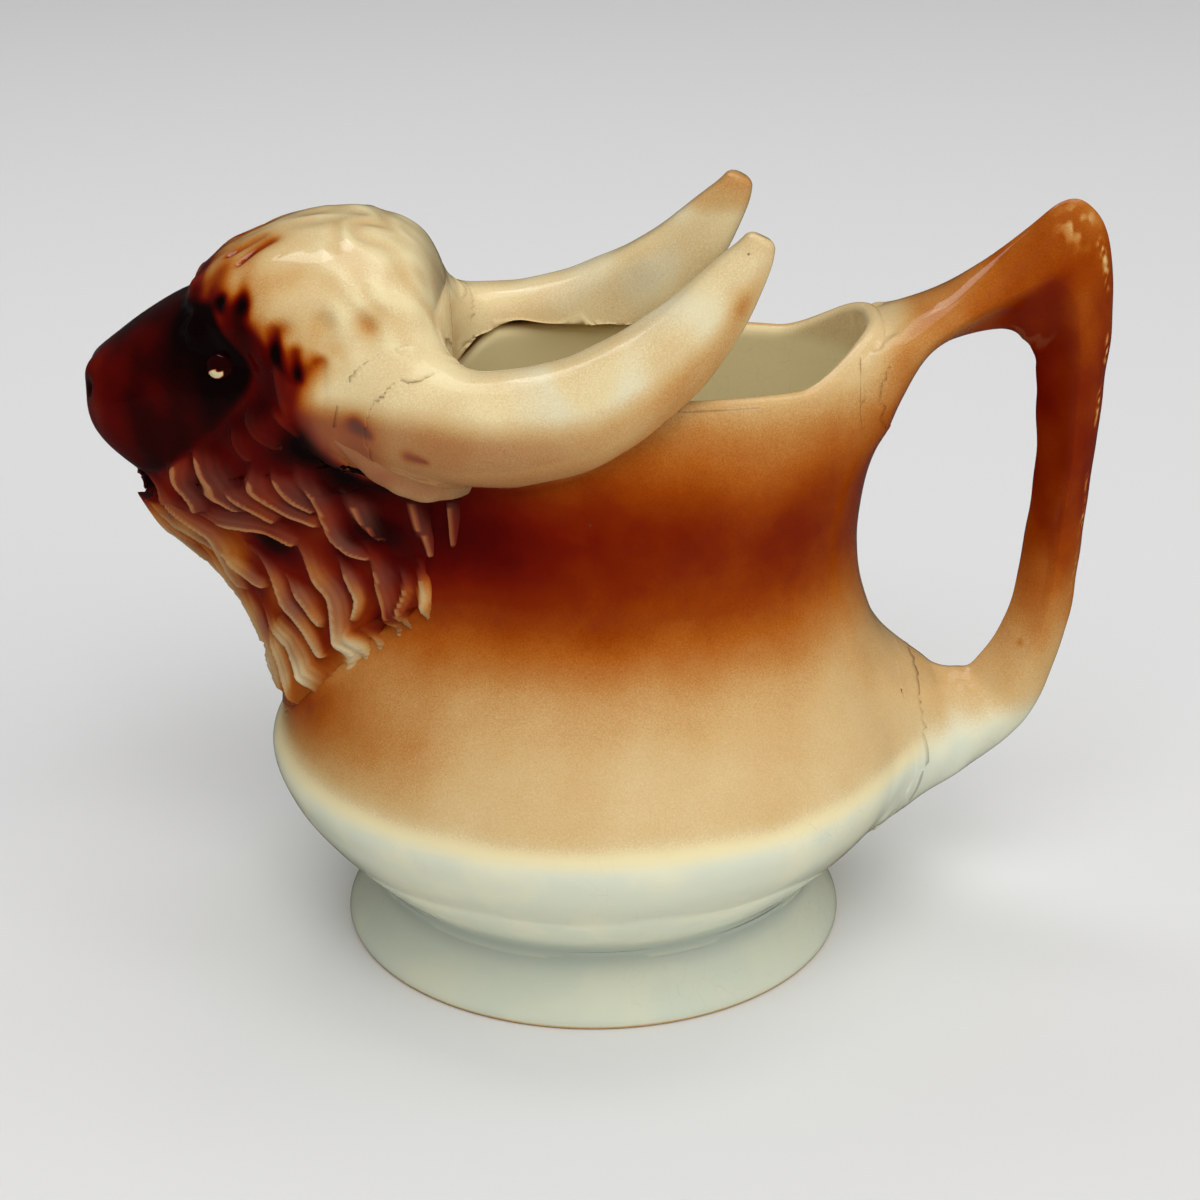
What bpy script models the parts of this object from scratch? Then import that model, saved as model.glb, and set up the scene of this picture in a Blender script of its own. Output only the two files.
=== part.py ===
"""A bison head pitcher in glazed earthenware, as the pieces that a potter lutes together.

Metres, +Z up. The spout faces -X, the handle +X, and the animal's left side is -Y. The origin lies
under the middle of the whole length, on the plane that the foot stands on.
"""

import math

import bpy
import numpy as np

# Seats between luted pieces, and walls
SEAT_GAP = 0.0003
SEAT_SINK = 0.0015
WALL = 0.0038
FLOOR = 0.0052

# Foot ring: it flares out from the waist, and the base lies inside it
FOOT_HEIGHT = 0.0140
FOOT_FLARE = 0.0062
FOOT_LAND = 0.0042
FOOT_EDGE = 0.0012
WAIST_RADIUS = 0.0458
BASE_HEIGHT = 0.0072
BASE_INSET = 0.0063
FOOT_RADIUS = WAIST_RADIUS + FOOT_FLARE
BASE_RADIUS = WAIST_RADIUS - BASE_INSET
FOOT_CURVE_SHARES = ((0.16, 0.76), (0.42, 0.50), (0.76, 0.27))
FOOT_SEAT_SHARES = (0.0, 0.5, 1.0)

# Vessel: a round bowl under an oval neck. Front and rear reaches run from the vessel's axis. The neck's
# narrowest part, the head, the horns' tips and the handle's peak are set from the rim's height.
VESSEL_X = -0.0013
BOWL_RADIUS = 0.0660
EQUATOR_HEIGHT = 0.0430
RIM_HEIGHT = 0.1210
NECK_DROP = 0.0370
NECK_HEIGHT = RIM_HEIGHT - NECK_DROP
NECK_HALF_WIDTH = 0.0385
NECK_REAR = 0.0530
NECK_FRONT = 0.0560
MOUTH_HALF_WIDTH = 0.0285
MOUTH_REAR = 0.0560
MOUTH_REAR_SQUARENESS = 2.6
MOUTH_FRONT = 0.0480
RIM_FRONT_DROP = 0.0095
RIM_FRONT_X = -0.0200
RIM_FRONT_RUN = 0.0140
RIM_REAR_RISE = 0.0095
RIM_REAR_X = 0.0370
RIM_REAR_RUN = 0.0220
BOWL_CURVE_SHARES = ((0.22, 0.32), (0.48, 0.66), (0.76, 0.92))
SHOULDER_CURVE_SHARES = ((0.10, 0.05), (0.24, 0.20), (0.42, 0.47), (0.60, 0.73), (0.80, 0.93))
SHOULDER_FRONT_SHARES = (0.22, 0.36, 0.55, 0.75, 0.92)
NECK_CURVE_SHARES = ((0.35, 0.30), (0.70, 0.66))
FLOOR_RING_SHARE = 0.55
LID_RING_SHARES = (1.0, 0.66, 0.33)

# Pour passage from the neck to the mouth, along an axis just under the head's base plane
PASSAGE_DROP = 0.0005
PASSAGE_HALF_WIDTH = 0.0150
PASSAGE_HALF_HEIGHT = 0.0085
PASSAGE_START_X = -0.0380
PASSAGE_END_X = -0.1015
LIP_HALF_WIDTH = 0.0066
LIP_HALF_HEIGHT = 0.0034
LIP_RISE = 0.0055
PASSAGE_LIFT_SHARE = 0.62
PASSAGE_LIFT_POWER = 1.5
PASSAGE_TAPER_SHARE = 0.80

# Head: nose to nape, from its base plane up to the crown
NOSE_X = -0.1000
NAPE_X = -0.0285
HEAD_DROP = 0.0260
HEAD_BASE_HEIGHT = RIM_HEIGHT - HEAD_DROP
HEAD_RISE = 0.0500
HEAD_HALF_WIDTH = 0.0290
HEAD_REACH_SHARES = (0.0, 0.012, 0.042, 0.095, 0.165, 0.255, 0.35,
                     0.45, 0.56, 0.70, 0.83, 0.925, 0.978, 1.0)
HEAD_TOP_SHARES = (0.42, 0.51, 0.57, 0.632, 0.704, 0.78, 0.835,
                   0.895, 0.96, 0.99, 0.97, 0.90, 0.77, 0.56)
HEAD_BOTTOM_SHARES = (0.41, 0.30, 0.225, 0.15, 0.075, 0.02, 0.01,
                      0.03, 0.06, 0.10, 0.16, 0.24, 0.32, 0.50)
HEAD_WIDTH_SHARES = (0.0, 0.22, 0.35, 0.455, 0.53, 0.60, 0.70,
                     0.83, 0.94, 1.0, 1.0, 0.95, 0.80, 0.0)
HEAD_SQUARENESS = 2.35

# Edge of the bare face, behind which the hair stands out from the head, at shares of the head's rise
HAIR_STAND = 0.0022
HAIR_RUN = 0.0080
FACE_REACH = 0.0340
FACE_HEIGHT_SHARES = (0.0, 0.16, 0.28, 0.43, 0.60, 0.67, 0.78, 0.90)
FACE_EDGE_SHARES = (0.40, 0.48, 0.68, 0.87, 0.97, 0.90, 0.76, 0.66)

# Eyes, at shares of the head's length and rise
EYE_REACH_SHARE = 0.4126
EYE_RISE_SHARE = 0.616
EYE_RADIUS = 0.0034
EYE_STAND_SHARE = 0.35

# Carved locks, in shares of one lock's width, of its tier's height and of its depth
LOCK_CREST_SHARE = 0.62
LOCK_WAVE_SHARE = 0.30
LOCK_DRIFT_SHARE = 0.15
LOCK_TIP_SHARE = 0.60

# Forelock: a pad of combed locks over the crown, in shares of the head's reach and round
FORELOCK_THICKNESS = 0.0029
FORELOCK_EDGE = 0.0010
FORELOCK_LOCK_DEPTH = 0.0016
FORELOCK_LOCKS = 9
FORELOCK_START_SHARE = 0.41
FORELOCK_END_SHARE = 0.935
FORELOCK_SPREAD = math.radians(76)
FORELOCK_FRONT_SHARE = 0.74
FORELOCK_SCALLOP_SHARE = 0.04
FORELOCK_EDGE_SHARE = 0.14
FORELOCK_TIERS = 3

# Mane and beard: carved locks round the front of the neck, with the lower lip at their top. The level
# sections are superellipses about the vessel's axis, more pointed at the beard. The top and the lip run
# over the head's base plane, and the sides rise and drop by shares of the whole height.
MANE_FRONT_STAND = 0.0340
MANE_SIDE_STAND = 0.0215
MANE_FOOT_RISE = 0.0050
MANE_REACH = NECK_FRONT + MANE_FRONT_STAND
MANE_HALF_WIDTH = NECK_HALF_WIDTH + MANE_SIDE_STAND
MANE_FOOT_HEIGHT = EQUATOR_HEIGHT + MANE_FOOT_RISE
MANE_TOP_RISE = 0.0210
MANE_LIP_RISE = 0.0005
MANE_LIP_SHARE = 0.20
MANE_LIP_RUN_SHARE = 0.20
MANE_SINK = 0.0040
MANE_EDGE_SHARE = 0.10
MANE_LOCK_DEPTH = 0.0022
MANE_LOCKS = 13
MANE_TIERS = 4
MANE_SPREAD = math.radians(72)
MANE_SIDE_RISE_SHARE = 0.544
MANE_SIDE_DROP_SHARE = 0.118
MANE_SQUARENESS = 2.0
MANE_LEVEL_SHARES = (0.0, 0.10, 0.20, 0.30, 0.40, 0.50, 0.60, 0.70, 0.82, 1.0)
MANE_REACH_SHARES = (0.705, 0.714, 0.733, 0.760, 0.806, 0.878, 0.968, 1.022, 1.02, 1.0)
MANE_WIDTH_SHARES = (1.05, 0.97, 0.88, 0.80, 0.745, 0.708, 0.685, 0.650, 0.590, 0.570)
MANE_SQUARENESS_SHARES = (1.0, 1.0, 0.96, 0.90, 0.82, 0.74, 0.70, 0.75, 0.86, 1.0)

# Horns: each runs back from the temple along the rim and curls up to a blunt tip
HORN_ROOT_X = -0.0500
HORN_TIP_X = 0.0290
HORN_ROOT_RISE = 0.0260
HORN_TIP_RISE = 0.0302
HORN_SIDE_STAND = 0.0037
HORN_TIP_INSET = 0.0035
HORN_HALF_DEPTH = 0.0104
HORN_HALF_WIDTH = 0.0088
HORN_REACH_SHARES = (0.0, 0.15, 0.31, 0.45, 0.59, 0.72, 0.82, 0.905, 0.965, 1.0)
HORN_HEIGHT_SHARES = (0.02, -0.08, -0.135, -0.125, -0.03, 0.15, 0.36, 0.60, 0.83, 1.0)
HORN_SPREAD_SHARES = (-0.60, 0.45, 0.97, 1.0, 0.97, 0.74, 0.42, 0.17, 0.03, 0.0)
HORN_SIZE_SHARES = (0.72, 0.90, 0.99, 1.0, 0.97, 0.88, 0.76, 0.60, 0.43, 0.26)
HORN_INNER_SHARE = 1.15
HORN_INNER_SQUARENESS = 3.0

# Ears: leaves laid along the underside of the horn roots, out from and under a run of the horn's line
EAR_RUN_SHARE = 0.263
EAR_ROOT_OUT = 0.0103
EAR_TIP_OUT = 0.0030
EAR_ROOT_DROP = 0.0066
EAR_TIP_DROP = 0.0135
EAR_SAG = 0.0015
EAR_HALF_DEPTH = 0.0050
EAR_HALF_WIDTH = 0.0034
EAR_HOLLOW_SHARE = 0.55
EAR_POINT_SHARE = 0.8

# Handle: broad flat root on the rim, high peaked corner, ridged arm, lower arm running into the bowl.
# Its outer outline runs from the root to the foot, with the turn and depth of the section at each point.
HANDLE_X = 0.1000
HANDLE_PEAK_RISE = 0.0300
HANDLE_FOOT_HEIGHT = 0.0180
HANDLE_DEPTH = 0.0115
HANDLE_HALF_WIDTH = 0.0064
HANDLE_ROOT_HALF_WIDTH = 0.0165
HANDLE_FOOT_HALF_WIDTH = 0.0250
HANDLE_OUT_SHARES = (0.015, 0.11, 0.30, 0.55, 0.76, 0.88, 0.965, 1.0,
                     0.985, 0.955, 0.92, 0.82, 0.71, 0.575, 0.42, 0.05)
HANDLE_UP_SHARES = (0.820, 0.842, 0.874, 0.938, 1.0, 0.995, 0.943, 0.820,
                    0.678, 0.503, 0.346, 0.209, 0.152, 0.113, 0.088, 0.045)
HANDLE_TURN_SHARES = (0.25, 0.245, 0.262, 0.252, 0.282, 0.302, 0.325, 0.370,
                      0.438, 0.506, 0.518, 0.592, 0.641, 0.676, 0.704, 0.73)
HANDLE_DEPTH_SHARES = (1.90, 1.38, 1.04, 1.45, 2.40, 2.60, 2.42, 1.73,
                       1.15, 1.0, 1.12, 1.45, 1.74, 2.04, 2.36, 3.0)
HANDLE_WIDTH_SHARES = (1.0, 0.82, 0.40, 0.10, 0.0, 0.0, 0.0, 0.0,
                       0.0, 0.0, 0.0, 0.05, 0.14, 0.28, 0.52, 1.0)
HANDLE_SQUARENESS = 1.7
HANDLE_END_SQUARENESS = 2.4

# Glaze colours
AMBER = (0.45, 0.20, 0.07)
CELADON = (0.66, 0.69, 0.56)
OXBLOOD = (0.09, 0.012, 0.006)
LOCK_BROWN = (0.22, 0.07, 0.035)
CREAM = (0.74, 0.60, 0.37)
MAUVE = (0.42, 0.25, 0.18)
PALE_OLIVE = (0.50, 0.48, 0.36)
RUSSET = (0.38, 0.13, 0.04)

# Facets
VESSEL_COLUMNS = 48
NECK_ROWS = 6
LIP_ROWS = 3
PASSAGE_COLUMNS = 16
PASSAGE_ROWS = 12
HEAD_COLUMNS = 26
HEAD_ROWS = 24
PATCH_COLUMNS = 46
PATCH_ROWS = 20
FORELOCK_COLUMNS = 30
FORELOCK_ROWS = 15
HORN_COLUMNS = 14
HORN_ROWS = 19
EYE_COLUMNS = 12
EYE_ROWS = 6
SECTION_POINTS = 60
EAR_COLUMNS = 12
EAR_ROWS = 11
HANDLE_COLUMNS = 16
HANDLE_ROWS = 29
FULL_TURN = 2 * math.pi
SHARP_ANGLE = math.radians(38)


def ease(share):
    """Smooth step: 0 below 0, 1 above 1, 3s^2 - 2s^3 between."""
    share = np.clip(share, 0.0, 1.0)
    return share * share * (3 - 2 * share)


def smooth(at, places, values):
    """Cubic Hermite curve through the values at the places, with central-difference slopes."""
    at = np.asarray(at, float)
    places = np.asarray(places, float)
    values = np.asarray(values, float)
    slopes = np.gradient(values, places)
    left = np.clip(np.searchsorted(places, at) - 1, 0, len(places) - 2)
    step = places[left + 1] - places[left]
    t = np.clip((at - places[left]) / step, 0.0, 1.0)
    rise = 3 * t**2 - 2 * t**3
    bend = step * ((t**3 - 2 * t**2 + t) * slopes[left] + (t**3 - t**2) * slopes[left + 1])
    return values[left] + (values[left + 1] - values[left]) * rise + bend


def superellipse(angle, squareness):
    """Unit section |x|^n + |y|^n = 1 at the given angles, as its two coordinates."""
    power = 2 / squareness
    across = np.sign(np.cos(angle)) * np.abs(np.cos(angle)) ** power
    up = np.sign(np.sin(angle)) * np.abs(np.sin(angle)) ** power
    return across, up


def turn_angles(count):
    """Angles of the given number of columns round a full turn."""
    return np.arange(count) * FULL_TURN / count


def ring_normals(rings):
    """Outward unit normals of a grid of closed rings: around crossed with along."""
    around = np.roll(rings, -1, axis=1) - np.roll(rings, 1, axis=1)
    along = np.gradient(rings, axis=0)
    normals = np.cross(around, along)
    return normals / np.linalg.norm(normals, axis=2, keepdims=True)


def patch_normals(grid):
    """Outward unit normals of an open grid: across crossed with up."""
    normals = np.cross(np.gradient(grid, axis=1), np.gradient(grid, axis=0))
    return normals / np.linalg.norm(normals, axis=2, keepdims=True)


def ring_faces(rows, columns):
    """Quads between closed rings, with a fan to a pole at each end; the poles are the last two points."""
    faces = []
    for row in range(rows - 1):
        for column in range(columns):
            after = (column + 1) % columns
            here, above = row * columns, (row + 1) * columns
            faces.append((here + column, here + after, above + after, above + column))
    first_pole, last_pole, last_row = rows * columns, rows * columns + 1, (rows - 1) * columns
    for column in range(columns):
        after = (column + 1) % columns
        faces.append((first_pole, after, column))
        faces.append((last_pole, last_row + column, last_row + after))
    return faces


def glaze(name, colour, roughness):
    """A fired glaze of one colour."""
    material = bpy.data.materials.new(name)
    material.use_nodes = True
    shader = material.node_tree.nodes["Principled BSDF"]
    shader.inputs["Base Color"].default_value = (*colour, 1.0)
    shader.inputs["Roughness"].default_value = roughness
    shader.inputs["Metallic"].default_value = 0.0
    return material


def add_object(name, points, faces, material=None):
    """A smooth-shaded mesh object, or a hidden cutter where no material is given."""
    mesh = bpy.data.meshes.new(name)
    mesh.from_pydata(np.asarray(points).reshape(-1, 3).tolist(), [], faces)
    mesh.shade_smooth()
    mesh.set_sharp_from_angle(angle=SHARP_ANGLE)
    piece = bpy.data.objects.new(name, mesh)
    bpy.context.scene.collection.objects.link(piece)
    if material is None:
        piece.hide_render = True
        piece.display_type = "WIRE"
    else:
        mesh.materials.append(material)
    return piece


def add_rings(name, rings, first_pole, last_pole, material=None):
    """A closed solid of rings with a pole at each end."""
    rows, columns = rings.shape[:2]
    points = np.vstack([rings.reshape(-1, 3), first_pole, last_pole])
    return add_object(name, points, ring_faces(rows, columns), material)


def add_capped(name, rings, material=None):
    """A closed solid of rings whose ends are flat fans about their middles."""
    return add_rings(name, rings, rings[0].mean(axis=0), rings[-1].mean(axis=0), material)


def add_pad(name, outer, inner, material=None):
    """A closed pad between an outer and an inner open grid that share their rows and columns."""
    rows, columns = outer.shape[:2]
    ring = np.concatenate([outer, inner[:, ::-1]], axis=1)
    around = 2 * columns
    faces = ring_faces(rows, around)[: (rows - 1) * around]
    top = (rows - 1) * around
    for column in range(columns - 1):
        back = around - 1 - column
        faces.append((column + 1, column, back, back - 1))
        faces.append((top + column, top + column + 1, top + back - 1, top + back))
    return add_object(name, ring, faces, material)


def trim(piece, cutter, solver="EXACT"):
    """Cuts the piece to the seat that the cutter leaves."""
    cut = piece.modifiers.new("Trim to " + cutter.name, "BOOLEAN")
    cut.operation = "DIFFERENCE"
    cut.solver = solver
    cut.object = cutter


def vessel_stations():
    """Heights up the vessel with its half width, rear reach and front reach at each."""
    waist = (FOOT_HEIGHT, WAIST_RADIUS, WAIST_RADIUS, WAIST_RADIUS)
    equator = (EQUATOR_HEIGHT, BOWL_RADIUS, BOWL_RADIUS, BOWL_RADIUS)
    neck = (NECK_HEIGHT, NECK_HALF_WIDTH, NECK_REAR, NECK_FRONT)
    mouth = (RIM_HEIGHT, MOUTH_HALF_WIDTH, MOUTH_REAR, MOUTH_FRONT)
    rows = [(BASE_HEIGHT, BASE_RADIUS, BASE_RADIUS, BASE_RADIUS), waist]
    runs = (
        (waist, equator, BOWL_CURVE_SHARES),
        (equator, neck, SHOULDER_CURVE_SHARES),
        (neck, mouth, NECK_CURVE_SHARES),
    )
    for low, high, shares in runs:
        low_row, high_row = np.array(low), np.array(high)
        fronts = [share for _, share in shares]
        if shares is SHOULDER_CURVE_SHARES:
            fronts = SHOULDER_FRONT_SHARES
        for (height_share, reach_share), front_share in zip(shares, fronts):
            share = np.array([height_share, reach_share, reach_share, front_share])
            rows.append(low_row + (high_row - low_row) * share)
        rows.append(high_row)
    slope = (rows[-1] - rows[-2]) / (rows[-1][0] - rows[-2][0])
    rows.append(rows[-1] + slope * (RIM_REAR_RISE + WALL))
    return np.array(rows, float)


def vessel_skin(angle, height):
    """The vessel's outside: a front and a rear half ellipse at each height, from the stations' curves."""
    stations = vessel_stations()
    half_width, rear, front = (smooth(height, stations[:, 0], stations[:, k]) for k in (1, 2, 3))
    blunt = ease((height - NECK_HEIGHT) / (RIM_HEIGHT - NECK_HEIGHT)) * (np.cos(angle) > 0)
    across, out = superellipse(angle, 2 + (MOUTH_REAR_SQUARENESS - 2) * blunt)
    reach = np.where(np.cos(angle) > 0, rear, front)
    return np.stack(np.broadcast_arrays(VESSEL_X + reach * across, half_width * out, height), axis=-1)


def rim_height(x):
    """Height of the lip over x: level, lower under the head and higher at the handle."""
    front = RIM_FRONT_DROP * ease((RIM_FRONT_X - x) / RIM_FRONT_RUN)
    rear = RIM_REAR_RISE * ease((x - RIM_REAR_X) / RIM_REAR_RUN)
    return RIM_HEIGHT - front + rear


def vessel_rings():
    """Rings up the vessel's outside, from the base's edge to just under the lip."""
    angles = turn_angles(VESSEL_COLUMNS)
    stations = vessel_stations()
    low = stations[stations[:, 0] < NECK_HEIGHT, 0]
    top = np.full(VESSEL_COLUMNS, RIM_HEIGHT)
    for _ in range(6):
        top = rim_height(vessel_skin(angles, top)[:, 0]) - WALL / 2
    share = np.linspace(0.0, 1.0, NECK_ROWS)[:, None]
    level = np.repeat(low[:, None], VESSEL_COLUMNS, axis=1)
    heights = np.vstack([level, NECK_HEIGHT + (top - NECK_HEIGHT) * share])
    return vessel_skin(np.broadcast_to(angles, heights.shape), heights)


def base_ring(height):
    """A point under or over the middle of the base."""
    return np.array([VESSEL_X, 0.0, height])


def add_body(material):
    """The vessel: outside, rounded lip and inside as one run of rings, with a flat base and floor."""
    outer = vessel_rings()
    normals = ring_normals(outer)
    inner = outer - WALL * normals
    middle = (outer[-1] + inner[-1]) / 2
    lip = []
    for row in range(1, LIP_ROWS + 1):
        turn = math.pi * row / (LIP_ROWS + 1)
        flat = normals[-1] * (1.0, 1.0, 0.0)
        flat = flat / np.linalg.norm(flat, axis=1, keepdims=True)
        lip.append(middle + WALL / 2 * (flat * math.cos(turn) + np.array([0.0, 0.0, math.sin(turn)])))
    floor_height = BASE_HEIGHT + FLOOR
    inside = inner[inner[:, :, 2].min(axis=1) > floor_height]
    shrink = (FLOOR_RING_SHARE, FLOOR_RING_SHARE, 0.0)
    middle_floor = (inside[0] - base_ring(0.0)) * shrink + base_ring(floor_height)
    rings = np.concatenate([outer, np.array(lip), inside[::-1], middle_floor[None]])
    return add_rings("body", rings, base_ring(BASE_HEIGHT), base_ring(floor_height), material)


def add_vessel_envelope():
    """The vessel filled to its lip and grown by the seat gap: what every luted piece is trimmed to."""
    outer = vessel_rings()
    rings = outer + SEAT_GAP * ring_normals(outer)
    lid = []
    for share in LID_RING_SHARES:
        ring = outer[-1] * (share, share, 0.0) + base_ring(0.0) * (1 - share)
        ring[:, 2] = rim_height(ring[:, 0]) + SEAT_GAP
        lid.append(ring)
    lid[0] = rings[-1] + np.array([0.0, 0.0, WALL / 2 + SEAT_GAP])
    last = base_ring(rim_height(VESSEL_X) + SEAT_GAP)
    return add_rings("vessel_envelope", np.concatenate([rings, lid]), base_ring(BASE_HEIGHT), last)


def add_foot_ring(material):
    """A flared ring turned under the bowl: its top follows the bowl's underside, its land is flat."""
    angles = turn_angles(VESSEL_COLUMNS)
    span = FOOT_HEIGHT - BASE_HEIGHT
    seat = []
    for share in FOOT_SEAT_SHARES:
        height = BASE_HEIGHT + span * share
        radius = vessel_skin(np.zeros(1), np.array([height]))[0, 0] - VESSEL_X
        seat.append((radius + SEAT_GAP, height - SEAT_GAP))
    flare = FOOT_RADIUS - WAIST_RADIUS
    inner_land = FOOT_RADIUS - FOOT_EDGE - FOOT_LAND
    outside = [(WAIST_RADIUS + flare * out, FOOT_HEIGHT * up) for out, up in FOOT_CURVE_SHARES]
    outside += [
        (FOOT_RADIUS, FOOT_EDGE),
        (FOOT_RADIUS - FOOT_EDGE, 0.0),
        (inner_land, 0.0),
        (inner_land - FOOT_EDGE, FOOT_EDGE),
        (BASE_RADIUS - FOOT_EDGE, BASE_HEIGHT - SEAT_GAP),
    ]
    profile = np.array(seat + outside)[::-1]
    rings = np.stack(
        [
            VESSEL_X + profile[:, :1] * np.cos(angles),
            profile[:, :1] * np.sin(angles),
            profile[:, 1:] + 0 * angles,
        ],
        axis=-1,
    )
    rows, columns = rings.shape[:2]
    faces = []
    for row in range(rows):
        here, above = row * columns, (row + 1) % rows * columns
        for column in range(columns):
            after = (column + 1) % columns
            faces.append((here + column, here + after, above + after, above + column))
    return add_object("foot_ring", rings, faces, material)


def head_rings(reach_share, angle):
    """The head's skin: superellipse sections from nose to nape, by share of its length and angle."""
    length = NAPE_X - NOSE_X
    station = np.linspace(0.0, 1.0, len(HEAD_REACH_SHARES))
    x = NOSE_X + length * smooth(reach_share, station, HEAD_REACH_SHARES)
    top = HEAD_BASE_HEIGHT + HEAD_RISE * smooth(reach_share, station, HEAD_TOP_SHARES)
    bottom = HEAD_BASE_HEIGHT + HEAD_RISE * smooth(reach_share, station, HEAD_BOTTOM_SHARES)
    half_width = HEAD_HALF_WIDTH * smooth(reach_share, station, HEAD_WIDTH_SHARES)
    across, up = superellipse(angle, HEAD_SQUARENESS)
    height = (top + bottom) / 2 + (top - bottom) / 2 * up
    edge = smooth((height - HEAD_BASE_HEIGHT) / HEAD_RISE, FACE_HEIGHT_SHARES, FACE_EDGE_SHARES)
    hair = HAIR_STAND * ease((x - NOSE_X - FACE_REACH * edge) / HAIR_RUN) * ease((NAPE_X - x) / HAIR_RUN)
    return np.stack(np.broadcast_arrays(x, (half_width + hair) * across, height + hair * up), axis=-1)


def head_grid(grow=0.0):
    """Rings of the whole head, grown outwards by the given distance."""
    share = np.linspace(0.0, 1.0, HEAD_ROWS)[1:-1, None]
    rings = head_rings(share, turn_angles(HEAD_COLUMNS)[None, :])
    return rings + grow * ring_normals(rings)


def add_head(name, material=None, grow=0.0):
    """The head, or its grown envelope, closed at the nose and the nape."""
    middle = HEAD_BASE_HEIGHT + HEAD_RISE * HEAD_TOP_SHARES[0]
    nape = HEAD_BASE_HEIGHT + HEAD_RISE * (HEAD_TOP_SHARES[-1] + HEAD_BOTTOM_SHARES[-1]) / 2
    first = np.array([NOSE_X - grow, 0.0, middle])
    last = np.array([NAPE_X + grow, 0.0, nape])
    return add_rings(name, head_grid(grow), first, last, material)


def lock_relief(across, along, locks, tiers):
    """Carved locks, 0 in the cuts and 1 on the crests: wavering ridges, staggered tier by tier, each
    sharp on one flank and drawn to a tip at its lower end."""
    tier = np.floor(along * tiers)
    within = along * tiers - tier
    wave = LOCK_WAVE_SHARE * np.sin(FULL_TURN * (along + LOCK_DRIFT_SHARE * tier))
    phase = across * locks + tier / 2 + wave
    place = phase - np.floor(phase)
    ridge = ease(np.minimum(place / LOCK_CREST_SHARE, (1 - place) / (1 - LOCK_CREST_SHARE)))
    return ridge * (LOCK_TIP_SHARE + (1 - LOCK_TIP_SHARE) * np.sqrt(np.clip(1 - within, 0.0, 1.0)))


def add_forelock(material):
    """A pad of locks over the crown, thickest on top and thin at its edge, sunk into the head."""
    along = np.linspace(0.0, 1.0, FORELOCK_ROWS)[:, None]
    across = np.linspace(-1.0, 1.0, FORELOCK_COLUMNS)[None, :]
    tips = np.cos(math.pi * FORELOCK_LOCKS / 2 * across)
    scallop = along + FORELOCK_SCALLOP_SHARE * (1 - along) * tips
    share = FORELOCK_START_SHARE + (FORELOCK_END_SHARE - FORELOCK_START_SHARE) * scallop
    spread = FORELOCK_FRONT_SHARE + (1 - FORELOCK_FRONT_SHARE) * np.sqrt(along)
    skin = head_rings(share, math.pi / 2 + FORELOCK_SPREAD * across * spread)
    normals = patch_normals(skin)
    border = ease(np.minimum(along, 1 - along) / FORELOCK_EDGE_SHARE)
    border = border * ease((1 - np.abs(across)) / FORELOCK_EDGE_SHARE)
    relief = lock_relief(across, 1 - along, FORELOCK_LOCKS / 2, FORELOCK_TIERS)
    thickness = FORELOCK_EDGE + (FORELOCK_THICKNESS - FORELOCK_EDGE) * border
    thickness = thickness + FORELOCK_LOCK_DEPTH * (relief - LOCK_TIP_SHARE) * border
    outer = skin + thickness[..., None] * normals
    return add_pad("forelock", outer, skin - SEAT_SINK * normals, material)


def mane_grid():
    """The mane's outer and sunken grids: across runs round the neck's front, up from the tips to the
    jaw. The level sections are |x|^n + |y|^n = 1 in shares of their reach and half width."""
    up = np.linspace(0.0, 1.0, PATCH_ROWS)[:, None]
    across = np.linspace(-1.0, 1.0, PATCH_COLUMNS)[None, :]
    scallop = 0.5 + 0.5 * np.cos(FULL_TURN * MANE_LOCKS / 2 * across)
    whole = HEAD_BASE_HEIGHT + MANE_TOP_RISE - MANE_FOOT_HEIGHT
    sides = ease(np.abs(across))
    foot = MANE_FOOT_HEIGHT + MANE_SIDE_RISE_SHARE * whole * sides + MANE_LOCK_DEPTH * scallop
    jaw = ease((np.abs(across) - MANE_LIP_SHARE) / MANE_LIP_RUN_SHARE)
    lip = HEAD_BASE_HEIGHT + MANE_LIP_RISE
    top = lip + (MANE_TOP_RISE - MANE_LIP_RISE) * jaw - MANE_SIDE_DROP_SHARE * whole * sides
    height = foot + (top - foot) * up
    level = (height - MANE_FOOT_HEIGHT) / whole
    reach, width, point = (
        smooth(level, MANE_LEVEL_SHARES, shares)
        for shares in (MANE_REACH_SHARES, MANE_WIDTH_SHARES, MANE_SQUARENESS_SHARES)
    )
    out, side = superellipse(MANE_SPREAD * across + 0 * up, MANE_SQUARENESS * point)
    x = VESSEL_X - MANE_REACH * reach * out
    smooth_side = np.stack(np.broadcast_arrays(x, -MANE_HALF_WIDTH * width * side, height), axis=-1)
    normals = patch_normals(smooth_side)
    border = ease(up / MANE_EDGE_SHARE) * ease((1 - up) / MANE_EDGE_SHARE)
    border = border * ease((1 - np.abs(across)) / MANE_EDGE_SHARE)
    relief = MANE_LOCK_DEPTH * (lock_relief(across, 1 - up, MANE_LOCKS / 2, MANE_TIERS) - LOCK_TIP_SHARE)
    outer = smooth_side + (relief * border)[..., None] * normals
    inner = vessel_skin(math.pi + MANE_SPREAD * across + 0 * up, height)
    return outer, inner - MANE_SINK * patch_normals(inner)


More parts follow.
